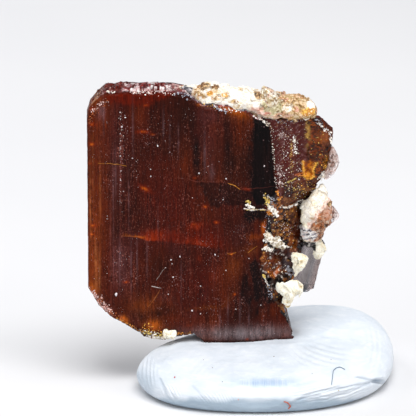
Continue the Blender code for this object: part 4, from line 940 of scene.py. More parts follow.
def make_brookite_group(dust, hairline):
    """The crystal's colour and fine relief, shared by its smooth and its broken faces.

    Fine upright streaks darken and lighten the mesh's own colours; a painted sheen (lilac streaks standing for
    reflected light), dust and hairline cracks lie over them. Etched turns these off for crumbly grains. Height is for a
    bump, Blotch for the roughness.
    """
    group, graph, given, made = new_group(
        "Brookite body", [("Haze", "NodeSocketFloat", 1.0)],
        [("Color", "NodeSocketColor"), ("Height", "NodeSocketFloat"), ("Blotch", "NodeSocketFloat")])
    wide = graph.noise(graph.place((1, 1, 0.25)), 1.3, 4.0, 0.62)
    fine = graph.noise(graph.place((1, 1, 0.08)), 8.0, 4.0, 0.6)
    hair = graph.noise(graph.place((1, 1, 0.10)), 22.0, 2.0, 0.5)
    stipple = graph.noise(graph.place((1, 1, 0.7)), 12.0, 3.0, 0.7)
    blotch = graph.noise(graph.place((1, 1, 0.5)), 1.1, 4.0, 0.6)
    body = graph.tint("mineral")
    tone = graph.ramp(graph.math("ADD", graph.math("MULTIPLY", fine, 0.6), graph.math("MULTIPLY", hair, 0.4)),
                      (0.37, (0.36, 0.36, 0.36)), (0.5, (0.93, 0.93, 0.93)), (0.65, (1.75, 1.75, 1.75)))
    shown = graph.rise(wide, 0.35, 0.65, 0.35, 1.0)
    body = graph.mix(shown, body, graph.mix(1.0, body, tone, "MULTIPLY"))
    hazy = graph.mask("hazy")
    body = graph.mix(graph.rise(stipple, 0.46, 0.36, 0.0, 0.45), body, colour(18, 8, 6))
    # Painted sheen: pale lilac streaks standing for light reflected off the face, stronger where the hazy mask is high,
    # scaled by the group's input.
    painted_sheen = graph.math("MULTIPLY", graph.rise(stipple, 0.56, 0.66), graph.rise(wide, 0.40, 0.62, 0.25, 1.0))
    painted_sheen = graph.math("MULTIPLY", graph.math("MULTIPLY", painted_sheen, 0.56), graph.math("ADD", hazy, 0.35))
    painted_sheen = graph.math("MULTIPLY", painted_sheen, given.outputs["Haze"])
    body = graph.mix(graph.clamp(painted_sheen), body, colour(164, 100, 86))
    front = graph.mask("front")
    for route, width, strength, tone_name in HAIRLINES:
        for start, end in zip(route, route[1:]):
            crack = use_group(graph, hairline, Width=width)
            graph.set(crack.inputs["Start"], (start[0], 0, start[1]))
            graph.set(crack.inputs["End"], (end[0], 0, end[1]))
            share = graph.math("MULTIPLY", graph.math("MULTIPLY", crack.outputs["Crack"], strength), front)
            body = graph.mix(share, body, tuple(TONES[tone_name]))
    large = use_group(graph, dust, Size=0.036, Spacing=0.22, Share=0.45).outputs["Specks"]
    small = use_group(graph, dust, Size=0.028, Spacing=0.11, Share=0.5).outputs["Specks"]
    lint = graph.clamp(graph.math("ADD", graph.math("MULTIPLY", large, 0.5), graph.math("MULTIPLY", small, hazy)))
    lint = graph.math("MULTIPLY", lint, 0.5)
    body = graph.mix(lint, body, colour(176, 142, 142))
    crumb = graph.noise(graph.place(), 9.0, 3.0, 0.6)
    grit = graph.mix(graph.rise(crumb, 0.3, 0.7, 0.0, 0.35), graph.tint("mineral"), colour(20, 10, 8))
    graph.set(made.inputs["Color"], graph.mix(graph.mask("etched"), body, grit))
    height = graph.math("ADD", fine, graph.math("MULTIPLY", hair, 0.5))
    grain = graph.math("MULTIPLY", graph.mask("etched"), graph.math("MULTIPLY", crumb, 1.6))
    graph.set(made.inputs["Height"], graph.math("ADD", height, grain))
    graph.set(made.inputs["Blotch"], blotch)
    return group


def make_brookite_material(name, body_group, haze, gloss, roughness):
    """Gloss is the specular level, roughness the smoothest and the roughest value; haze sets the strength of the
    painted sheen.
    """
    material, graph, shader = new_material(name)
    body = use_group(graph, body_group, Haze=haze)
    graph.set(shader.inputs["Base Color"], body.outputs["Color"])
    graph.set(shader.inputs["Roughness"], graph.rise(body.outputs["Blotch"], 0.3, 0.7, *roughness))
    shader.inputs["IOR"].default_value = 1.6
    shader.inputs["Specular IOR Level"].default_value = gloss
    graph.set(shader.inputs["Normal"], graph.bump(body.outputs["Height"], 0.035, 0.6))
    return material


def make_brookite(groups):
    points, faces, slots = brookite_mesh()
    body = make_brookite_group(groups["dust"], groups["hairline"])
    materials = [make_brookite_material("Brookite, striated faces", body, 1.0, 0.04, (0.26, 0.38)),
                 make_brookite_material("Brookite, broken and etched", body, 0.4, 0.16, (0.14, 0.32))]
    piece = make_piece("Brookite_plate", points, faces, materials, slots, brookite_masks(points))
    dress(piece, "brookite", "brookite_crystal")
    return piece


# --- crumbs and dust on the plate -----------------------------------------------------------------

KINDS = {  # what a crumb is made of: darkest and palest screen colour; the pale speck and white crumbs on the shelf and slope are partly painted glints
    "white": ((214, 200, 178), (252, 250, 246)), "yellow": ((150, 112, 36), (236, 208, 110)),
    "pink": ((176, 116, 104), (244, 214, 208)), "amber": ((150, 76, 12), (236, 156, 44)), "speck": ((120, 84, 84), (226, 208, 204)),
    "glass": ((84, 84, 98), (196, 196, 206)), "russet": ((96, 34, 8), (184, 92, 30)), "honey": ((214, 128, 20), (252, 202, 78)), "black": ((10, 9, 12), (54, 50, 58)),
}


def crumbs_on_plate():
    """Centres, radii and colours of the crumbs: points along each route, strayed by a normal spread."""
    centres, radii, shades = [], [], []
    for number, (route, count, spread, least, most, kind) in enumerate(CRUMBS):
        rng = np.random.default_rng(500 + number)
        nodes = np.array(route)
        lengths = np.concatenate([[0], np.cumsum(np.linalg.norm(np.diff(nodes, axis=0), axis=1))])
        along = rng.random(count) * lengths[-1]
        x = np.interp(along, lengths, nodes[:, 0]) + rng.normal(size=count) * spread * 0.7
        z = np.interp(along, lengths, nodes[:, 1]) + rng.normal(size=count) * spread * 0.7
        radius = least + (most - least) * rng.random(count) ** 2.2
        inside = (x < read(RIGHT_EDGE, z) + 0.05) & (z < read(UPPER_EDGE, x) + 0.08) & (z > read(LOWER_EDGE, x) + radius)
        y = np.minimum(FRONT + front_depth(x, z), BACK - 0.35) - 0.25 * radius
        dark, pale = (np.array(colour(*shade)) for shade in KINDS[kind])
        centres.append(np.stack([x, y, z], -1)[inside])
        radii.append(radius[inside])
        shades.append((dark + (pale - dark) * rng.random(count)[:, None] ** 0.7)[inside])
    return np.concatenate(centres), np.concatenate(radii), np.concatenate(shades)


def make_crumb_material(name):
    material, graph, shader = new_material(name)
    fine = graph.noise(graph.place(), 14.0, 3.0, 0.6)
    light = graph.mix(1.0, graph.tint("mineral"), graph.ramp(fine, (0.35, (0.72, 0.70, 0.68)), (0.65, (1.2, 1.2, 1.2))), "MULTIPLY")
    graph.set(shader.inputs["Base Color"], light)
    graph.set(shader.inputs["Roughness"], graph.rise(fine, 0.3, 0.7, 0.22, 0.5))
    shader.inputs["Specular IOR Level"].default_value = 0.5
    return material


def make_crumbs():
    centres, radii, shades = crumbs_on_plate()
    points, faces = scattered(centres, radii, 41)
    piece = make_piece("Crumbs_on_the_plate", points, faces, [make_crumb_material("Crumbs of feldspar, quartz and brookite")],
                       masks={"mineral": np.repeat(shades, 12, 0)}, smooth=False)
    dress(piece, "matrix")


def make_dust():
    """Loose pale grains: the larger ones at their places, fine ones thicker in clouds and in upright lines."""
    rng = np.random.default_rng(77)
    count = 1800
    lined = rng.random(count) < 0.3
    x = np.where(lined, rng.choice([-8.9, -8.1, -7.26, -7.26, -7.2, -6.3, -4.6, -2.1, 1.5], count)
                 + rng.normal(size=count) * 0.05, rng.uniform(-9.0, 2.6, count))
    z = rng.uniform(2.9, 17.4, count)
    radius = 0.005 + 0.013 * rng.random(count) ** 3
    crowded = octaves(x, z, 0, 1.3, 76) > rng.uniform(-0.1, 0.9, count) - 0.25 * lined
    x, z, radius = x[crowded], z[crowded], radius[crowded]
    places = np.array(GRAINS)
    x, z, radius = (np.concatenate([a, b]) for a, b in ((x, places[:, 0]), (z, places[:, 1]), (radius, places[:, 2] * 0.0075)))
    kept = (z < read(UPPER_EDGE, x) - 0.1) & (z > read(LOWER_EDGE, x) + 0.1)
    x, z, radius = x[kept], z[kept], radius[kept]
    y = np.minimum(FRONT + front_depth(x, z), BACK - 0.35) - 0.3 * radius
    points, faces = scattered(np.stack([x, y, z], -1), radius, 78)
    material, graph, shader = new_material("Dust grains")
    tone = graph.noise(graph.place(), 3.0, 2.0, 0.5)
    graph.set(shader.inputs["Base Color"], graph.ramp(tone, (0.35, colour(176, 156, 158)), (0.65, colour(240, 234, 236))))
    shader.inputs["Roughness"].default_value = 0.6
    dress(make_piece("Dust_on_the_plate", points, faces, [material]), "matrix")


# --- matrix: crumbly pale lumps -------------------------------------------------------------------

MATRIX = {  # name: CAD node, stretch in y, crumbliness, points round, rings, path rows of x, y, z, radius in mm
    "Matrix_crust_on_the_top_edge": ("matrix_crust_top", 1.35, 0.7, 190, 440, (
        (-3.75, 0.4, 18.25, 0.25), (-3.0, 0.4, 17.95, 0.5), (-2.2, 0.4, 17.74, 0.72), (-1.0, 0.45, 17.6, 0.76),
        (0.2, 0.45, 17.38, 0.76), (1.2, 0.5, 17.1, 0.78), (2.2, 0.6, 16.98, 0.78), (3.2, 0.6, 16.92, 0.76),
        (3.9, 0.6, 16.8, 0.74), (4.45, 0.55, 16.55, 0.64))),
    "Matrix_on_the_broken_side": ("matrix_side", 1.05, 0.8, 170, 280, (
        (4.86, 0.5, 12.22, 0.20), (4.76, 0.5, 11.6, 0.50), (4.66, 0.5, 10.95, 0.80), (4.52, 0.5, 10.4, 0.88),
        (4.36, 0.5, 9.8, 0.76), (4.24, 0.5, 9.2, 0.72), (4.12, 0.5, 8.7, 0.60), (3.98, 0.45, 8.25, 0.42))),
    "Matrix_lump_in_the_middle": ("matrix_lump_middle", 1.1, 0.9, 120, 120, (
        (3.30, -0.1, 8.02, 0.40), (3.44, -0.1, 7.72, 0.50), (3.42, -0.1, 7.35, 0.42), (3.3, -0.1, 6.95, 0.28),
        (3.2, -0.1, 6.5, 0.10))),
    "Lower_matrix_lump": ("matrix_lump_low", 0.85, 0.9, 130, 150, (
        (2.05, -0.5, 5.98, 0.35), (2.4, -0.5, 5.92, 0.50), (2.85, -0.5, 5.76, 0.58), (3.3, -0.45, 5.84, 0.48),
        (3.70, -0.4, 5.98, 0.34))),
    "Point_of_the_lower_matrix_lump": ("matrix_lump_tip", 0.9, 0.8, 90, 90, (
        (2.65, -0.55, 5.4, 0.34), (2.7, -0.6, 5.05, 0.32), (2.8, -0.6, 4.72, 0.16))),
    "Matrix_lump_beside_the_quartz_prism": ("matrix_lump_edge", 1.0, 0.8, 90, 90, (
        (4.66, 0.45, 8.6, 0.20), (4.62, 0.45, 8.05, 0.34), (4.55, 0.45, 7.48, 0.24))),
    "Matrix_wedge_on_the_slope": ("matrix_wedge", 0.9, 0.5, 100, 120, (
        (1.42, -0.62, 9.42, 0.26), (1.9, -0.57, 9.0, 0.27), (2.6, -0.42, 8.42, 0.12))),
    "Matrix_crumb_at_the_foot": ("matrix_crumb_foot", 1.0, 0.7, 90, 90, (
        (-4.75, -0.75, 3.05, 0.2), (-4.35, -0.85, 3.15, 0.3), (-3.95, -0.8, 3.25, 0.26))),
}
MATRIX_CELL, MATRIX_ROUGHNESS, MATRIX_FULLNESS = 0.75, 0.24, 0.45


def drawn_sphere(path, stretch, around, rings):
    """Rings of a unit sphere carried along a path of x, y, z, radius rows; each point and its outward direction."""
    turn = np.linspace(0, 2 * math.pi, around, endpoint=False)[None, :]
    polar = np.linspace(0.02, math.pi - 0.02, rings)[:, None]
    share = (1 - np.cos(polar)) / 2
    rows = np.array(path)
    places = np.linspace(0, 1, len(rows))
    centre = np.stack([np.interp(share[:, 0], places, rows[:, n]) for n in range(3)], -1)[:, None, :]
    radius = np.interp(share[:, 0], places, rows[:, 3])[:, None, None]
    axis = rows[0, :3] - rows[-1, :3]
    axis = axis / np.linalg.norm(axis)
    side = np.cross(axis, (0.0, 1.0, 0.0))
    side = side / np.linalg.norm(side)
    other = np.cross(axis, side)
    out = side * np.cos(turn)[..., None] + other * np.sin(turn)[..., None]
    out = out * np.sin(polar)[..., None] ** MATRIX_FULLNESS * np.array([1.0, stretch, 1.0])
    return centre + out * radius, out * radius


def matrix_points(stretch, crumbly, around, rings, path, seed):
    """The drawn-out sphere with lumps, and flat crystal facets of three sizes that stand out by crumbly."""
    points, out = drawn_sphere(path, stretch, around, rings)
    x, y, z = points[..., 0], points[..., 1], points[..., 2]
    swell = octaves(x, y, z, MATRIX_CELL, seed, 2)
    large, _ = facets(x, y, z, 0.70, seed + 20)
    middle, _ = facets(x, y, z, 0.31, seed + 30)
    small, _ = facets(x, y, z, 0.12, seed + 40)
    unit = out / np.maximum(np.linalg.norm(out, axis=-1, keepdims=True), 1e-6)
    fade = np.sin(np.linspace(0.02, math.pi - 0.02, rings))[:, None] ** 0.5
    push = fade * (0.22 * min(1, 0.4 + 0.6 * crumbly) * large + crumbly * (0.09 * middle + 0.028 * small))
    return points + out * (MATRIX_ROUGHNESS * 0.7 * swell)[..., None] + unit * push[..., None]


def matrix_masks(points):
    """Facet colours: cream and white, with pink, brown and glassy parts where those minerals grow.

    The number that picks a tone adds two sizes of facet and a cloud, so that like tones lie together.
    """
    x, y, z = points.T
    cloud = octaves(x, y, z, 0.8, 91)
    coarse, fine = facets(x, y, z, 0.31, 140)[1], facets(x, y, z, 0.12, 150)[1]
    middling = facets(x, y, z, 0.20, 160)[1]
    number = np.clip(0.5 * coarse + 0.3 * fine + 0.1 + 0.35 * cloud, 0, 1)
    white = tones(number, (0.46, (249, 244, 235)), (0.62, (240, 230, 214)), (0.73, (230, 210, 178)),
                  (0.84, (208, 176, 126)), (0.93, (172, 130, 84)), (1, (122, 90, 62)))
    cream = tones(number, (0.56, (255, 252, 238)), (0.80, (252, 244, 220)), (0.93, (240, 224, 184)), (1, (212, 186, 132)))
    pure = tones(number, (0.6, (253, 249, 240)), (0.85, (250, 242, 224)), (1, (240, 226, 196)))
    sugary = tones(number, (0.24, (226, 204, 170)), (0.36, (196, 166, 112)), (0.48, (158, 122, 72)), (0.60, (232, 204, 166)),
                   (0.69, (178, 130, 72)), (0.80, (222, 172, 148)), (0.89, (126, 90, 52)), (1, (252, 246, 232)))
    olive = tones(number, (0.35, (206, 196, 158)), (0.6, (184, 172, 130)), (0.8, (222, 212, 180)), (1, (146, 126, 82)))
    brown = tones(number, (0.3, (176, 132, 84)), (0.5, (118, 84, 52)), (0.7, (206, 172, 126)), (1, (84, 66, 54)))
    warm_number = np.clip(0.60 * coarse + 0.32 * middling + 0.08 * fine + 0.3 * cloud, 0, 1)
    rusty = tones(warm_number, (0.26, (214, 168, 136)), (0.40, (146, 88, 50)), (0.50, (196, 122, 72)), (0.60, (104, 60, 34)),
                  (0.67, (232, 210, 190)), (0.80, (176, 108, 56)), (1, (84, 50, 36)))
    rosy = tones(warm_number, (0.34, (232, 186, 164)), (0.46, (212, 146, 110)), (0.56, (198, 124, 72)), (0.68, (246, 224, 210)),
                 (0.84, (216, 158, 132)), (1, (140, 84, 54)))
    glassy = tones(number, (0.3, (36, 34, 40)), (0.5, (78, 76, 84)), (0.7, (150, 146, 152)), (1, (214, 210, 212)))
    silver = tones(number, (0.42, (255, 252, 250)), (0.54, (214, 202, 202)), (0.76, (255, 255, 255)),
                   (0.92, (244, 212, 200)), (1, (130, 110, 104)))
    yellow = tones(number, (0.4, (240, 196, 92)), (0.7, (210, 146, 56)), (1, (252, 238, 206)))
    pink = tones(number, (0.5, (244, 212, 198)), (0.8, (226, 168, 148)), (1, (250, 236, 228)))
    lath = tones(number, (0.3, (232, 222, 204)), (0.46, (190, 176, 150)), (0.68, (252, 246, 236)), (0.80, (150, 134, 108)),
                 (1, (255, 253, 248)))
    shade = blend(ramp(-z, -8.8, -8.6), white, cream)
    shade = blend((x < 2.75) * ramp(z, 8.0, 8.2) * (z < 11), shade, lath)
    right = ramp(x + 0.7 * cloud, 1.9, 2.3) * ramp(z, 15.0, 15.3)
    shade = blend(right, shade, sugary)
    shade = blend(ramp(x, 3.3, 3.5) * ramp(z, 8.6, 8.8) * (1 - ramp(z, 12.6, 12.8)), shade, pure)
    for at, size, strength, other in (
            ((-0.2, 17.8), (1.3, 0.45), 0.9, pure), ((0.6, 17.4), (0.7, 0.4), 0.9, pure),
            ((-2.5, 18.0), (0.9, 0.30), 0.55, sugary), ((-2.45, 18.4), (0.5, 0.16), 1.0, brown), ((-1.5, 17.75), (0.6, 0.2), 0.6, sugary),
            ((-1.05, 17.95), (0.3, 0.14), 0.7, yellow), ((-3.3, 18.1), (0.4, 0.3), 0.8, glassy),
            ((-1.9, 18.05), (0.22, 0.14), 0.8, yellow), ((-0.5, 17.6), (0.3, 0.12), 0.7, sugary), ((-1.6, 18.35), (0.3, 0.12), 0.8, brown),
            ((0.95, 17.95), (0.26, 0.30), 1.0, brown), ((1.15, 18.2), (0.2, 0.1), 0.8, yellow), ((1.75, 17.25), (0.6, 0.5), 1.0, olive),
            ((0.85, 17.1), (0.45, 0.2), 0.7, pink), ((1.3, 16.85), (0.5, 0.12), 0.7, pink),
            ((-1.9, 17.38), (0.35, 0.16), 1.0, glassy), ((-1.0, 17.25), (0.3, 0.12), 1.0, glassy),
            ((-0.15, 17.0), (0.5, 0.15), 1.0, glassy), ((2.7, 17.15), (0.3, 0.25), 0.9, white),
            ((4.15, 17.3), (0.35, 0.35), 1.0, pure), ((3.95, 16.85), (0.45, 0.22), 1.0, yellow)):
        near = strength * spot(x, z, at, size) * (1 - ramp(y, 0.1, 0.9))
        share = ramp(near + 0.2 * cloud + 0.3 * (middling - 0.5), 0.28, 0.46)
        shade = blend(share, shade, other)
    line = stroke(x, z, ((0.4, 17.1), (1.3, 16.7), (2.1, 16.5), (3.0, 16.7)), 0.06) * (1 - ramp(y, -0.4, 0.2))
    shade = blend(0.8 * line, shade, np.array(colour(240, 204, 184)))
    side = (z < 12.8) * ramp(x, 3.3, 3.5) * ramp(z, 8.6, 8.8)
    ragged = 0.16 * cloud + 0.10 * noise(x, y, z, 0.3, 92)
    below = np.minimum(0.78 * (x - 4.92) - 0.62 * (z - 10.85), 1.2 * (x - 3.95)) + ragged
    warm = 0.8 * blend(spot(x, z, (5.25, 10.6), (0.4, 0.5)), rusty, rosy)
    shade = blend(side * 0.7 * ramp(below, -0.26, -0.12), shade, pink)
    shade = blend(side * ramp(below, -0.03, 0.06), shade, warm)
    shade = blend(side * (1 - ramp(x + 0.3 * z + 0.1 * cloud, 6.75, 6.95)), shade, cream)
    shade = blend(side * ramp(spot(x, z, (5.3, 11.05), (0.25, 0.16)) + 0.2 * cloud, 0.3, 0.6), shade, brown)
    banded = np.where(np.sin(2 * math.pi * (z - 0.35 * x + 0.05 * cloud) / 0.29)[:, None] > -0.5, silver, glassy)
    shade = blend(side * ramp(spot(x, z, (3.92, 9.15), (0.66, 0.46)) + 0.1 * cloud, 0.3, 0.5), shade, banded)
    # Black beads; their palest facet tone is a painted glint.
    beads = tones(fine, (0.4, (14, 13, 16)), (0.6, (46, 44, 50)), (0.75, (110, 104, 104)), (0.88, (24, 20, 22)), (1, (226, 222, 220)))
    beaded = (1 - ramp(z + 0.15 * cloud, 8.62, 8.72)) * ramp(z, 8.0, 8.05) * ramp(x, 3.45, 3.5) * (y > -0.2) * (x < 4.45)
    shade = blend(beaded, shade, beads)
    shade = blend(side * 0.9 * spot(x, z, (4.2, 10.25), (0.16, 0.10)), shade, np.array(colour(176, 128, 66)))
    return {"mineral": blend(0.35 * ramp(y, 0.9, 1.4), shade, sugary)}


def make_matrix_material(grain):
    material, graph, shader = new_material("Matrix, sugary feldspar and quartz")
    crumbs = use_group(graph, grain, Grain=0.20)
    fine = use_group(graph, grain, Grain=0.07)
    sugar = graph.ramp(fine.outputs["Shade"], (0.15, (0.66, 0.60, 0.52, 1)), (0.4, (0.94, 0.92, 0.89, 1)), (0.65, (1, 1, 1, 1)))
    body = graph.mix(0.6, graph.tint("mineral"), sugar, "MULTIPLY")
    gaps = graph.math("MULTIPLY", crumbs.outputs["Gap"], 0.2)
    body = graph.mix(gaps, body, colour(168, 128, 92), "MULTIPLY")
    graph.set(shader.inputs["Base Color"], body)
    graph.set(shader.inputs["Roughness"], graph.rise(crumbs.outputs["Shade"], 0.35, 0.8, 0.7, 0.22))
    height = graph.math("ADD", crumbs.outputs["Height"], graph.math("MULTIPLY", fine.outputs["Height"], 0.45))
    graph.set(shader.inputs["Normal"], graph.bump(height, 0.07, 0.6))
    return material


def make_matrix(material):
    for number, (name, (node, *shape)) in enumerate(MATRIX.items()):
        points, faces = closed_tube(matrix_points(*shape, 100 + 7 * number))
        piece = make_piece(name, points, faces, [material], masks=matrix_masks(points), smooth=False)
        dress(piece, "matrix", node)


# --- quartz crystals ------------------------------------------------------------------------------

QUARTZ = {  # name: CAD node, centre, radius, length, tilt in degrees about x, y, z, tip share, size of the tip in x and y
    "Quartz_prism_hanging_on_the_right": (
        "quartz_prism_right", (4.0, 1.3, 6.84), 0.80, 3.3, (0, 195, -16), 0.10, (0.72, 0.6)),
}
QUARTZ_ROUNDED = {  # name: CAD node, stretch in y, points round, rings, path rows of x, y, z, radius in mm
    "Quartz_crystal_on_the_crust": ("quartz_crystal_top", 1.0, 120, 140, (
        (1.26, 0.15, 18.38, 0.12), (1.40, 0.15, 18.15, 0.34), (1.62, 0.1, 17.75, 0.56), (1.66, 0.0, 17.25, 0.60),
        (1.5, -0.1, 16.95, 0.35))),
    "Quartz_rim_on_the_right_edge": ("quartz_rim_right", 1.1, 96, 96, (
        (5.40, 0.4, 14.55, 0.14), (5.47, 0.4, 14.05, 0.30), (5.46, 0.4, 13.5, 0.35), (5.26, 0.4, 12.95, 0.34),
        (5.0, 0.4, 12.5, 0.20))),
    "Quartz_point_on_the_right": ("quartz_point_right", 1.0, 80, 80, (
        (4.9, 0.7, 10.3, 0.35), (5.25, 0.7, 10.25, 0.50), (5.55, 0.7, 10.15, 0.44), (5.84, 0.7, 10.05, 0.18))),
}
QUARTZ_FOOT, QUARTZ_LEAN = 0.86, 0.1


def turned(points, tilt):
    """Points turned by angles in degrees about x, then y, then z."""
    for axis, angle in enumerate(tilt):
        c, s = math.cos(math.radians(angle)), math.sin(math.radians(angle))
        first, second = ((1, 2), (2, 0), (0, 1))[axis]
        points = points.copy()
        a, b = points[..., first].copy(), points[..., second].copy()
        points[..., first], points[..., second] = a * c - b * s, a * s + b * c
    return points


def quartz_points(centre, radius, length, tilt, tip, chisel, seed):
    """Rings up a six-sided prism and its pyramid: side distance cos 30 / cos(angle within a side), with
    bevelled edges, fine cross striations and a few chipped facets.
    """
    around, rings = 96, 72
    turn = np.linspace(0, 2 * math.pi, around, endpoint=False)[None, :]
    side = np.floor(turn / (math.pi / 3))
    within = turn - side * math.pi / 3 - math.pi / 6
    flat = math.cos(math.pi / 6) / np.cos(within) - 0.07 * ramp(np.abs(within), 0.40, 0.53)
    up = np.concatenate([np.linspace(0, 1 - tip, 48), np.linspace(1 - tip, 1, rings - 47)[1:]])[:, None]
    rise = np.clip((up - 1 + tip) / tip, 0, 1)
    body = QUARTZ_FOOT + (1 - QUARTZ_FOOT) * np.clip(up / (1 - tip), 0, 1)
    reach = radius * body * flat * (1 + 0.02 * noise(up * length, side, 0, 0.12, seed) * (1 - rise))
    x = reach * np.cos(turn) * (1 - rise * (1 - chisel[0])) + QUARTZ_LEAN * radius * rise
    y = reach * np.sin(turn) * (1 - rise * (1 - chisel[1]))
    points = np.stack([x, y, np.broadcast_to((up - 0.5) * length, x.shape)], -1)
    chips, _ = facets(points[..., 0], points[..., 1], points[..., 2], 0.42, seed + 3)
    points = points * (1 + 0.02 * chips[..., None])
    return turned(points, tilt) + np.array(centre)


def rounded_quartz_points(stretch, around, rings, path, seed):
    """A worn crystal: the drawn-out sphere with a few broad flats."""
    points, out = drawn_sphere(path, stretch, around, rings)
    flats, _ = facets(points[..., 0], points[..., 1], points[..., 2], 0.5, seed)
    small, _ = facets(points[..., 0], points[..., 1], points[..., 2], 0.2, seed + 20)
    return points + out * (0.26 * flats + 0.06 * small)[..., None]


def make_quartz_material(name, roughness, clearness, tint, density):
    """Roughness is the clearest and the haziest value; clearness is the share of light let through."""
    material, graph, shader = new_material(name)
    haze = graph.noise(graph.place((1, 1, 0.5)), 1.6, 4.0, 0.6)
    graph.set(shader.inputs["Roughness"], graph.rise(haze, 0.36, 0.62, *roughness))
    veins = graph.noise(graph.place((1, 1, 0.3)), 3.0, 4.0, 0.65)
    pale = tuple(min(1.0, 1.25 * part) for part in colour(*tint)[:3])
    body = graph.ramp(veins, (0.35, colour(*tint)), (0.65, pale))
    graph.set(shader.inputs["Base Color"], graph.mix(1.0, body, graph.tint("mineral"), "MULTIPLY"))
    shader.inputs["Transmission Weight"].default_value = clearness
    shader.inputs["IOR"].default_value = 1.55
    bands = graph.noise(graph.place((1, 1, 0.10), (0, math.radians(-10), 0)), 5.0, 3.0, 0.6)
    graph.set(shader.inputs["Normal"], graph.bump(bands, 0.03, 0.25))
    absorb = graph.add("ShaderNodeVolumeAbsorption", Color=colour(*tint), Density=density)
    graph.set(graph.tree.nodes["Material Output"].inputs["Volume"], absorb.outputs[0])
    return material


def quartz_masks(points, worn, top):
    """A tint over the crystal's own colour: mottled on worn pieces; the prism is darker in its middle and pink to the right."""
    x, y, z = points.T
    number = 0.7 * facets(x, y, z, 0.32, 165)[1] + 0.3 * facets(x, y, z, 0.11, 166)[1]
    if top:
        return {"mineral": tones(number, (0.28, (240, 228, 212)), (0.42, (214, 194, 162)), (0.52, (160, 128, 84)),
                                 (0.66, (252, 248, 244)), (0.76, (196, 184, 176)), (0.84, (128, 98, 60)), (1, (240, 204, 190)))}
    if worn:
        return {"mineral": tones(number, (0.30, (246, 232, 226)), (0.45, (188, 148, 132)), (0.58, (130, 96, 84)),
                                 (0.74, (250, 242, 238)), (0.86, (198, 160, 146)), (1, (92, 68, 60)))}
    lean = x - (x.min() + x.max()) / 2 - 0.25 * (z - z.mean())
    veins = noise(x, y, 0.15 * z, 0.18, 161)
    shade = blend(ramp(lean, -0.30, 0.0), np.tile(colour(244, 244, 246), (len(x), 1)), np.array(colour(186, 188, 190)))
    shade = blend(ramp(lean, 0.15, 0.40), shade, np.array(colour(240, 206, 196)))
    return {"mineral": blend(0.5 * ramp(veins, 0.1, 0.7), shade, np.array(colour(164, 158, 158)))}


def make_quartz():
    clear = make_quartz_material("Quartz, clear with a faint smoky tint", (0.06, 0.24), 1.0, (206, 200, 200), 1050.0)
    hazy = make_quartz_material("Quartz, worn and hazy", (0.06, 0.30), 0.55, (230, 212, 206), 700.0)
    top = make_quartz_material("Quartz, glassy and nearly clear", (0.03, 0.18), 0.25, (240, 229, 212), 300.0)
    made = [(name, node, quartz_points(*shape, 300 + 11 * n)) for n, (name, (node, *shape)) in enumerate(QUARTZ.items())]
    made += [(name, node, rounded_quartz_points(*shape, 340 + 11 * n))
             for n, (name, (node, *shape)) in enumerate(QUARTZ_ROUNDED.items())]
    for name, node, rings in made:
        points, faces = closed_tube(rings)
        worn = name in QUARTZ_ROUNDED
        upper = node == "quartz_crystal_top"
        material = top if upper else hazy if worn else clear
        masks = quartz_masks(points, worn, upper)
        dress(make_piece(name, points, faces, [material], masks=masks, smooth=False), "quartz", node)


# --- mounting putty -------------------------------------------------------------------------------

PUTTY_PLAN = (
    (-6.45, -1.4), (-6.25, -2.9), (-5.6, -4.3), (-3.9, -5.8), (-1.3, -6.55), (1.4, -6.7), (4.3, -6.25),
    (5.9, -5.5), (7.8, -3.9), (8.9, -1.7), (9.24, 1.3), (9.0, 3.4), (8.5, 5.7), (6.6, 6.75), (4.8, 6.8),
    (3.3, 6.4), (1.5, 5.7), (-1.0, 4.1), (-3.6, 1.6), (-5.3, 0.7), (-6.2, -0.3))
PUTTY_MIDDLE = (1.4, 0.0)
PUTTY_X, PUTTY_Y = (-6.45, 9.24), (-6.68, 6.68)
PUTTY_PROFILE = (
    (0.0, 1.0), (0.3, 1.0), (0.55, 0.99), (0.74, 0.95), (0.87, 0.85), (0.955, 0.67), (1.0, 0.44),
    (0.99, 0.22), (0.955, 0.07), (0.91, 0.0), (0.0, 0.0))
PUTTY_HEIGHT, PUTTY_SLOPE = 2.65, (0.035, 0.075)
PUTTY_SWELL, PUTTY_SWELL_AT, PUTTY_SWELL_REACH = 0.3, (-4.6, -2.6), 2.4
PUTTY_AROUND, PUTTY_RINGS = 520, 170
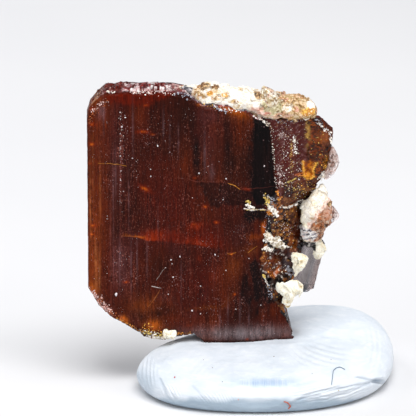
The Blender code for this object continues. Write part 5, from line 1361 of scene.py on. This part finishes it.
# Marks on the putty are placed by x and by "rise", z cos 17 + y sin 17 in degrees, which runs up the front and top.
PUTTY_PRINTS = (  # x, rise, x and rise reach, ridge spacing, turn in degrees, bend, strength: finger ridges
    (-5.75, 0.45, 0.75, 1.2, 0.24, 90, 0.16, 0.7), (-4.3, -0.65, 0.7, 0.5, 0.18, -62, 0.0, 0.5),
    (-2.3, 0.9, 1.3, 0.9, 0.30, 40, 0.12, 0.2), (4.6, 1.55, 1.9, 0.8, 0.30, -20, -0.10, 0.9),
    (1.3, 0.0, 1.7, 0.26, 0.14, 90, 0.0, 0.4), (5.2, -0.65, 2.2, 0.55, 0.19, 14, -0.03, 1.0),
    (8.0, 1.9, 0.7, 1.5, 0.34, 84, -0.14, 0.5), (-1.6, -0.9, 1.4, 0.35, 0.16, -56, 0.1, 0.35))
PUTTY_FOLDS = (  # route by x and rise, width, height: creases, folded layers and flow lines
    (((-4.88, 0.13), (-4.69, -0.30), (-4.45, -0.84), (-4.2, -1.14)), 0.10, -0.16), (((-4.18, -0.73), (-3.91, -1.0)), 0.09, -0.10),
    (((2.81, -1.3), (3.78, -0.79), (4.8, -0.52), (6.09, -0.34), (7.0, -0.2), (8.28, 0.05)), 0.11, -0.13),
    (((3.32, -1.04), (4.42, -0.85), (5.32, -0.85), (6.35, -0.59), (7.64, -0.14)), 0.10, -0.11),
    (((2.74, -1.43), (3.32, -1.24), (4.16, -1.07), (5.06, -1.04)), 0.09, -0.09), (((3.06, -0.2), (3.9, -0.01), (5.06, 0.11)), 0.12, -0.06),
    (((6.86, 0.25), (7.64, 0.05), (8.22, -0.01)), 0.10, -0.16), (((-4.72, 1.10), (-4.56, 1.32), (-4.26, 1.56)), 0.10, 0.05),
    (((-2.94, -0.25), (-2.24, -1.0)), 0.10, -0.06), (((3.12, 2.12), (4.29, 2.05), (5.19, 1.6), (6.09, 1.08)), 0.10, -0.05),
    (((4.8, 2.56), (6.35, 2.5)), 0.12, -0.05), (((8.0, 0.03), (8.5, -0.12)), 0.16, -0.40))
PUTTY_FIBRES = (  # route by x and rise, radius in mm, screen colour: lint pressed into the putty
    (((5.29, -0.2), (5.36, 0.2), (5.42, 0.66), (5.62, 0.82), (5.84, 0.86), (6.16, 0.70)), 0.022, (104, 126, 144)),
    (((2.42, -1.12), (2.66, -1.18), (2.84, -1.38), (2.74, -1.60)), 0.036, (186, 96, 72)))
PUTTY_SPECKS = (  # x, rise, radius in mm, screen colour
    (-3.99, 0.25, 0.055, (176, 62, 36)), (-5.37, 0.62, 0.04, (196, 160, 120)), (-0.24, -1.0, 0.045, (206, 150, 136)),
    (-1.75, 0.8, 0.035, (150, 148, 146)), (1.91, 1.43, 0.045, (138, 120, 100)), (4.13, 0.5, 0.035, (150, 134, 120)),
    (5.32, 1.27, 0.035, (128, 120, 112)), (-2.28, 1.27, 0.03, (150, 150, 150)), (5.7, -0.5, 0.05, (178, 160, 120)),
    (-1.2, 0.02, 0.035, (110, 116, 122)), (0.33, 2.42, 0.06, (214, 170, 60)))


def plan_reach(turn):
    """Distance from the putty's middle to its plan outline, with the corners eased over thirteen readings."""
    dx, dy = (np.array(PUTTY_PLAN) - PUTTY_MIDDLE).T
    angle, reach = np.arctan2(dy, dx), np.hypot(dx, dy)
    order = np.argsort(angle)
    near = [turn + step * 0.035 for step in range(-6, 7)]
    return sum(np.interp(at, angle[order], reach[order], period=2 * math.pi) for at in near) / len(near)


def putty_rise(y, z):
    return z * math.cos(CAMERA_TILT) + y * math.sin(CAMERA_TILT)


def putty_relief(x, y, z):
    """Height of the swells, creases and flow lines on the putty, in mm; each crease has a lip beside it."""
    high = 0.06 * octaves(x, y, z, 1.6, 201) + 0.012 * octaves(x, y, z, 0.3, 203)
    rise, front = putty_rise(y, z), 1 - ramp(y, 2.5, 5.0)
    for route, width, height in PUTTY_FOLDS:
        wander = rise + 0.04 * noise(x, rise, 0, 0.5, 207)
        high = high + 0.45 * front * height * stroke(x, wander, route, 0.8 * width)
        high = high - 0.25 * front * height * stroke(x, wander - 1.3 * width, route, 1.2 * width)
    return high


def putty_prints(points):
    """Phase of the finger ridges, in ridges, and their strength from 0 to 1, where the strongest print wins."""
    x, y, z = points.T
    rise = putty_rise(y, z)
    phase, strength = np.zeros(len(x)), np.zeros(len(x))
    for px, rise_at, rx, rz, gap, turn, bend, force in PUTTY_PRINTS:
        c, s = math.cos(math.radians(turn)), math.sin(math.radians(turn))
        u, v = (x - px) * c + (rise - rise_at) * s, (rise - rise_at) * c - (x - px) * s
        own = force * ramp(np.exp(-(((x - px) / rx) ** 2) - ((rise - rise_at) / rz) ** 2), 0.2, 0.8) * (1 - ramp(y, 2.5, 5.0))
        loops = (v + bend * u**2 + 0.05 * noise(x, rise, 0, 0.7, 205)) / gap
        phase = np.where(own > strength, loops, phase)
        strength = np.maximum(own, strength)
    return phase, strength


def putty_masks(points):
    """Ridges, and a tint: painted blue-grey shade low on the sides, on the lower left and in the creases, and a
    blue-grey smeared band.
    """
    x, y, z = points.T
    phase, strength = putty_prints(points)
    rise = putty_rise(y, z)
    low = (1 - ramp(rise + 0.12 * noise(x, rise, 0, 0.5, 208), -1.25, -0.75)) * (1 - ramp(y, -1.0, 1.0))
    left = (1 - ramp(x, -6.1, -4.2)) * (1 - ramp(rise, 0.0, 1.0))
    shade = np.ones((len(x), 4))
    # Painted shade: blue-grey low on the front and sides, and on the lower left.
    shade = blend(0.95 * np.maximum(low, 0.6 * left), shade, np.array(colour(186, 201, 211)))
    streaks = 0.5 + 0.3 * noise(x, 0, 0, 0.16, 209) + 0.2 * noise(x, 0, 0, 0.07, 210)
    band = spot(x, rise, (1.3, -0.02), (1.9, 0.27)) * (0.55 + 0.55 * streaks)
    shade = blend(np.clip(band, 0, 0.85), shade, np.array(colour(186, 208, 232)))
    # Painted shade darkening the creases.
    for route, width, height in PUTTY_FOLDS:
        shade = blend(np.clip(-2.5 * height * stroke(x, rise, route, 0.7 * width), 0, 0.5), shade, np.array(colour(176, 190, 202)))
    return {"phase": phase, "ridge": strength, "smear": shade}


def putty_points():
    """The side profile carried round the plan, from the middle of the top to the middle of the base."""
    turn = np.linspace(-math.pi, math.pi, PUTTY_AROUND, endpoint=False)[None, :]
    along = np.concatenate([np.linspace(0.004, 0.86, PUTTY_RINGS - 14), np.linspace(0.86, 0.997, 15)[1:]])[:, None]
    places = np.linspace(0, 1, len(PUTTY_PROFILE))
    near = [np.clip(along + step * 0.012, 0, 1) for step in range(-4, 5)]
    share, rise = (sum(np.interp(at, places, [row[n] for row in PUTTY_PROFILE]) for at in near) / len(near)
                   for n in (0, 1))
    reach = plan_reach(turn) * share
    x, y = PUTTY_MIDDLE[0] + reach * np.cos(turn), PUTTY_MIDDLE[1] + reach * np.sin(turn)
    away = np.hypot(x - PUTTY_SWELL_AT[0], y - PUTTY_SWELL_AT[1])
    swell = PUTTY_SWELL * np.exp(-((away / PUTTY_SWELL_REACH) ** 2))
    z = rise * (PUTTY_HEIGHT + PUTTY_SLOPE[0] * x + PUTTY_SLOPE[1] * y + swell)
    relief = putty_relief(x, y, z) * ramp(rise, 0.03, 0.3)
    socket = np.exp(-(np.maximum(0, np.abs(y - 0.3) - 1.0) / 0.35) ** 2) * ramp(x, -2.9, -2.2) * (1 - ramp(x, 3.0, 3.6))
    relief = relief - 0.10 * socket * ramp(rise, 0.8, 1.0)
    side = 1 - ramp(rise, 0.75, 0.98)
    x, y = x + relief * side * np.cos(turn), y + relief * side * np.sin(turn)
    z = z + relief * (1 - 0.7 * side)
    return np.stack([np.clip(x, *PUTTY_X), np.clip(y, *PUTTY_Y), np.maximum(z, 0)], -1)


def make_putty_material():
    material, graph, shader = new_material("Putty, pale blue and matt")
    cloud = graph.noise(graph.place(), 0.55, 4.0, 0.55)
    smear = graph.noise(graph.place((1, 1, 5)), 1.4, 4.0, 0.6)
    body = graph.ramp(cloud, (0.3, colour(202, 210, 219)), (0.7, colour(220, 226, 233)))
    body = graph.mix(graph.rise(smear, 0.45, 0.75, 0.0, 0.5), body, colour(234, 238, 242))
    # The smear attribute carries painted shade low on the sides and in the creases, as well as the smeared band.
    body = graph.mix(1.0, body, graph.tint("smear"), "MULTIPLY")
    graph.set(shader.inputs["Base Color"], body)
    graph.set(shader.inputs["Roughness"], graph.rise(smear, 0.3, 0.75, 0.62, 0.42))
    pores = graph.noise(graph.place(), 7.0, 4.0, 0.65)
    wave = graph.math("SINE", graph.math("MULTIPLY", graph.mask("phase"), 2 * math.pi))
    ridges = graph.math("MULTIPLY", graph.math("MULTIPLY", wave, graph.mask("ridge")), 0.85)
    height = graph.math("ADD", graph.math("MULTIPLY", smear, 0.8), graph.math("MULTIPLY", pores, 0.4))
    graph.set(shader.inputs["Normal"], graph.bump(graph.math("ADD", height, ridges), 0.05, 0.6))
    return material


def on_putty(points, route):
    """For each x and rise of a route, the nearest point of the putty's front or top, never of its base."""
    towards = points[:, 1] * math.cos(CAMERA_TILT) - points[:, 2] * math.sin(CAMERA_TILT)
    seen = points[(towards < 0.4) & (points[:, 2] > 0.12)]
    rise = putty_rise(seen[:, 1], seen[:, 2])
    return np.array([seen[np.argmin((seen[:, 0] - x) ** 2 + (rise - up) ** 2)] for x, up in route])


def make_putty():
    points, faces = closed_tube(putty_points())
    putty = make_piece("Mounting_putty", points, faces, [make_putty_material()], masks=putty_masks(points))
    dress(putty, "putty", "mounting_putty")
    material = make_crumb_material("Lint and specks on the putty")
    turn = np.linspace(0, 2 * math.pi, 8, endpoint=False)[None, :, None]
    for number, (route, radius, shade) in enumerate(PUTTY_FIBRES):
        steps = np.linspace(0, len(route) - 1, 12 * len(route))
        finer = np.stack([np.interp(steps, np.arange(len(route)), np.array(route)[:, n]) for n in range(2)], -1)
        nodes = on_putty(points, finer)
        near = [np.clip(np.arange(len(nodes)) + step, 0, len(nodes) - 1) for step in range(-3, 4)]
        spine = sum(nodes[at] for at in near)[:, None, :] / len(near)
        thin = radius * np.clip(8 * np.sin(np.linspace(0.02, math.pi - 0.02, len(steps))), 0.3, 1)[:, None, None]
        forward = np.gradient(spine[:, 0], axis=0)
        across = np.cross(forward, (0.0, -0.94, 0.34))
        across = (across / np.linalg.norm(across, axis=1, keepdims=True))[:, None, :]
        ring = np.array([0.0, -0.94, 0.34]) * np.sin(turn) + across * np.cos(turn)
        fibre, sides = closed_tube(spine + ring * thin)
        piece = make_piece(f"Fibre_on_the_putty_{number + 1}", fibre + [0, -0.035, 0.015], sides, [material],
                           masks={"mineral": np.tile(colour(*shade), (len(fibre), 1))})
        dress(piece, "putty")
    centres = on_putty(points, [row[:2] for row in PUTTY_SPECKS])
    specks, sides = scattered(centres, np.array([row[2] for row in PUTTY_SPECKS]), 79)
    shades = np.repeat(np.array([colour(*row[3]) for row in PUTTY_SPECKS]), 12, 0)
    dress(make_piece("Specks_on_the_putty", specks, sides, [material], masks={"mineral": shades}, smooth=False), "putty")


# --- floor, lights and camera ---------------------------------------------------------------------


def make_floor():
    mesh = bpy.data.meshes.new("Floor")
    mesh.from_pydata([(-3, -3, 0), (3, -3, 0), (3, 3, 0), (-3, 3, 0)], [], [(0, 1, 2, 3)])
    floor = bpy.data.objects.new("Floor", mesh)
    bpy.context.scene.collection.objects.link(floor)
    material, graph, shader = new_material("Floor, pale paper")
    tone = graph.noise(graph.place(), 0.02, 3.0, 0.5)
    graph.set(shader.inputs["Base Color"], graph.ramp(tone, (0.3, colour(214, 214, 216)), (0.7, colour(220, 220, 221))))
    shader.inputs["Roughness"].default_value = 0.8
    mesh.materials.append(material)


def make_light(name, place, aim, size, power, tint=(1, 1, 1)):
    light = bpy.data.lights.new(name, "AREA")
    light.shape = "RECTANGLE"
    light.size, light.size_y = size
    light.energy = power
    light.color = tint
    lamp = bpy.data.objects.new(name, light)
    bpy.context.scene.collection.objects.link(lamp)
    way = np.array(aim) - np.array(place)
    lamp.location = place
    lamp.rotation_euler = (math.atan2(math.hypot(way[0], way[1]), -way[2]), 0, math.atan2(-way[0], way[1]))
    return lamp


def make_studio():
    world = bpy.data.worlds.new("Studio")
    bpy.context.scene.world = world
    world.use_nodes = True
    world.node_tree.nodes["Background"].inputs["Color"].default_value = (0.92, 0.94, 1.0, 1.0)
    world.node_tree.nodes["Background"].inputs["Strength"].default_value = 0.30
    middle = (0, 0, 0.010)
    make_light("Overhead softbox", (0.04, -0.09, 0.30), middle, (0.24, 0.18), 1.00)
    make_light("Side softbox", (0.25, -0.15, 0.13), middle, (0.16, 0.16), 0.34, (1.0, 0.97, 0.94))
    make_light("Fill light", (-0.22, -0.16, 0.08), middle, (0.16, 0.16), 0.26)
    make_light("Edge light", (-0.16, 0.16, 0.16), middle, (0.12, 0.12), 0.22)


def make_camera():
    """A long lens at the object's own angle: the frame's scale is MM_PER_PIXEL in the plane y = 0."""
    lens = SENSOR * CAMERA_DISTANCE / (IMAGE_SIDE * MM_PER_PIXEL)
    half = IMAGE_SIDE / 2
    aim = np.array([(half - ORIGIN_PIXEL[0]) * MM_PER_PIXEL, 0,
                    (ORIGIN_PIXEL[1] - half) * MM_PER_PIXEL / math.cos(CAMERA_TILT)])
    back = np.array([0, -math.cos(CAMERA_TILT), math.sin(CAMERA_TILT)]) * CAMERA_DISTANCE
    camera = bpy.data.cameras.new("Camera")
    camera.lens, camera.sensor_width, camera.clip_start, camera.clip_end = lens, SENSOR, 0.001, 20
    camera.dof.use_dof = False
    eye = bpy.data.objects.new("Camera", camera)
    bpy.context.scene.collection.objects.link(eye)
    eye.location = (aim + back) * MM
    eye.rotation_euler = (math.pi / 2 - CAMERA_TILT, 0, 0)
    bpy.context.scene.camera = eye


dust_group = make_dust_group()
grain_group = make_grain_group()
make_brookite({"dust": dust_group, "hairline": make_hairline_group()})
make_crumbs()
make_dust()
make_matrix(make_matrix_material(grain_group))
make_quartz()
make_putty()
make_floor()
make_studio()
make_camera()
bpy.context.scene.view_settings.view_transform = "Standard"
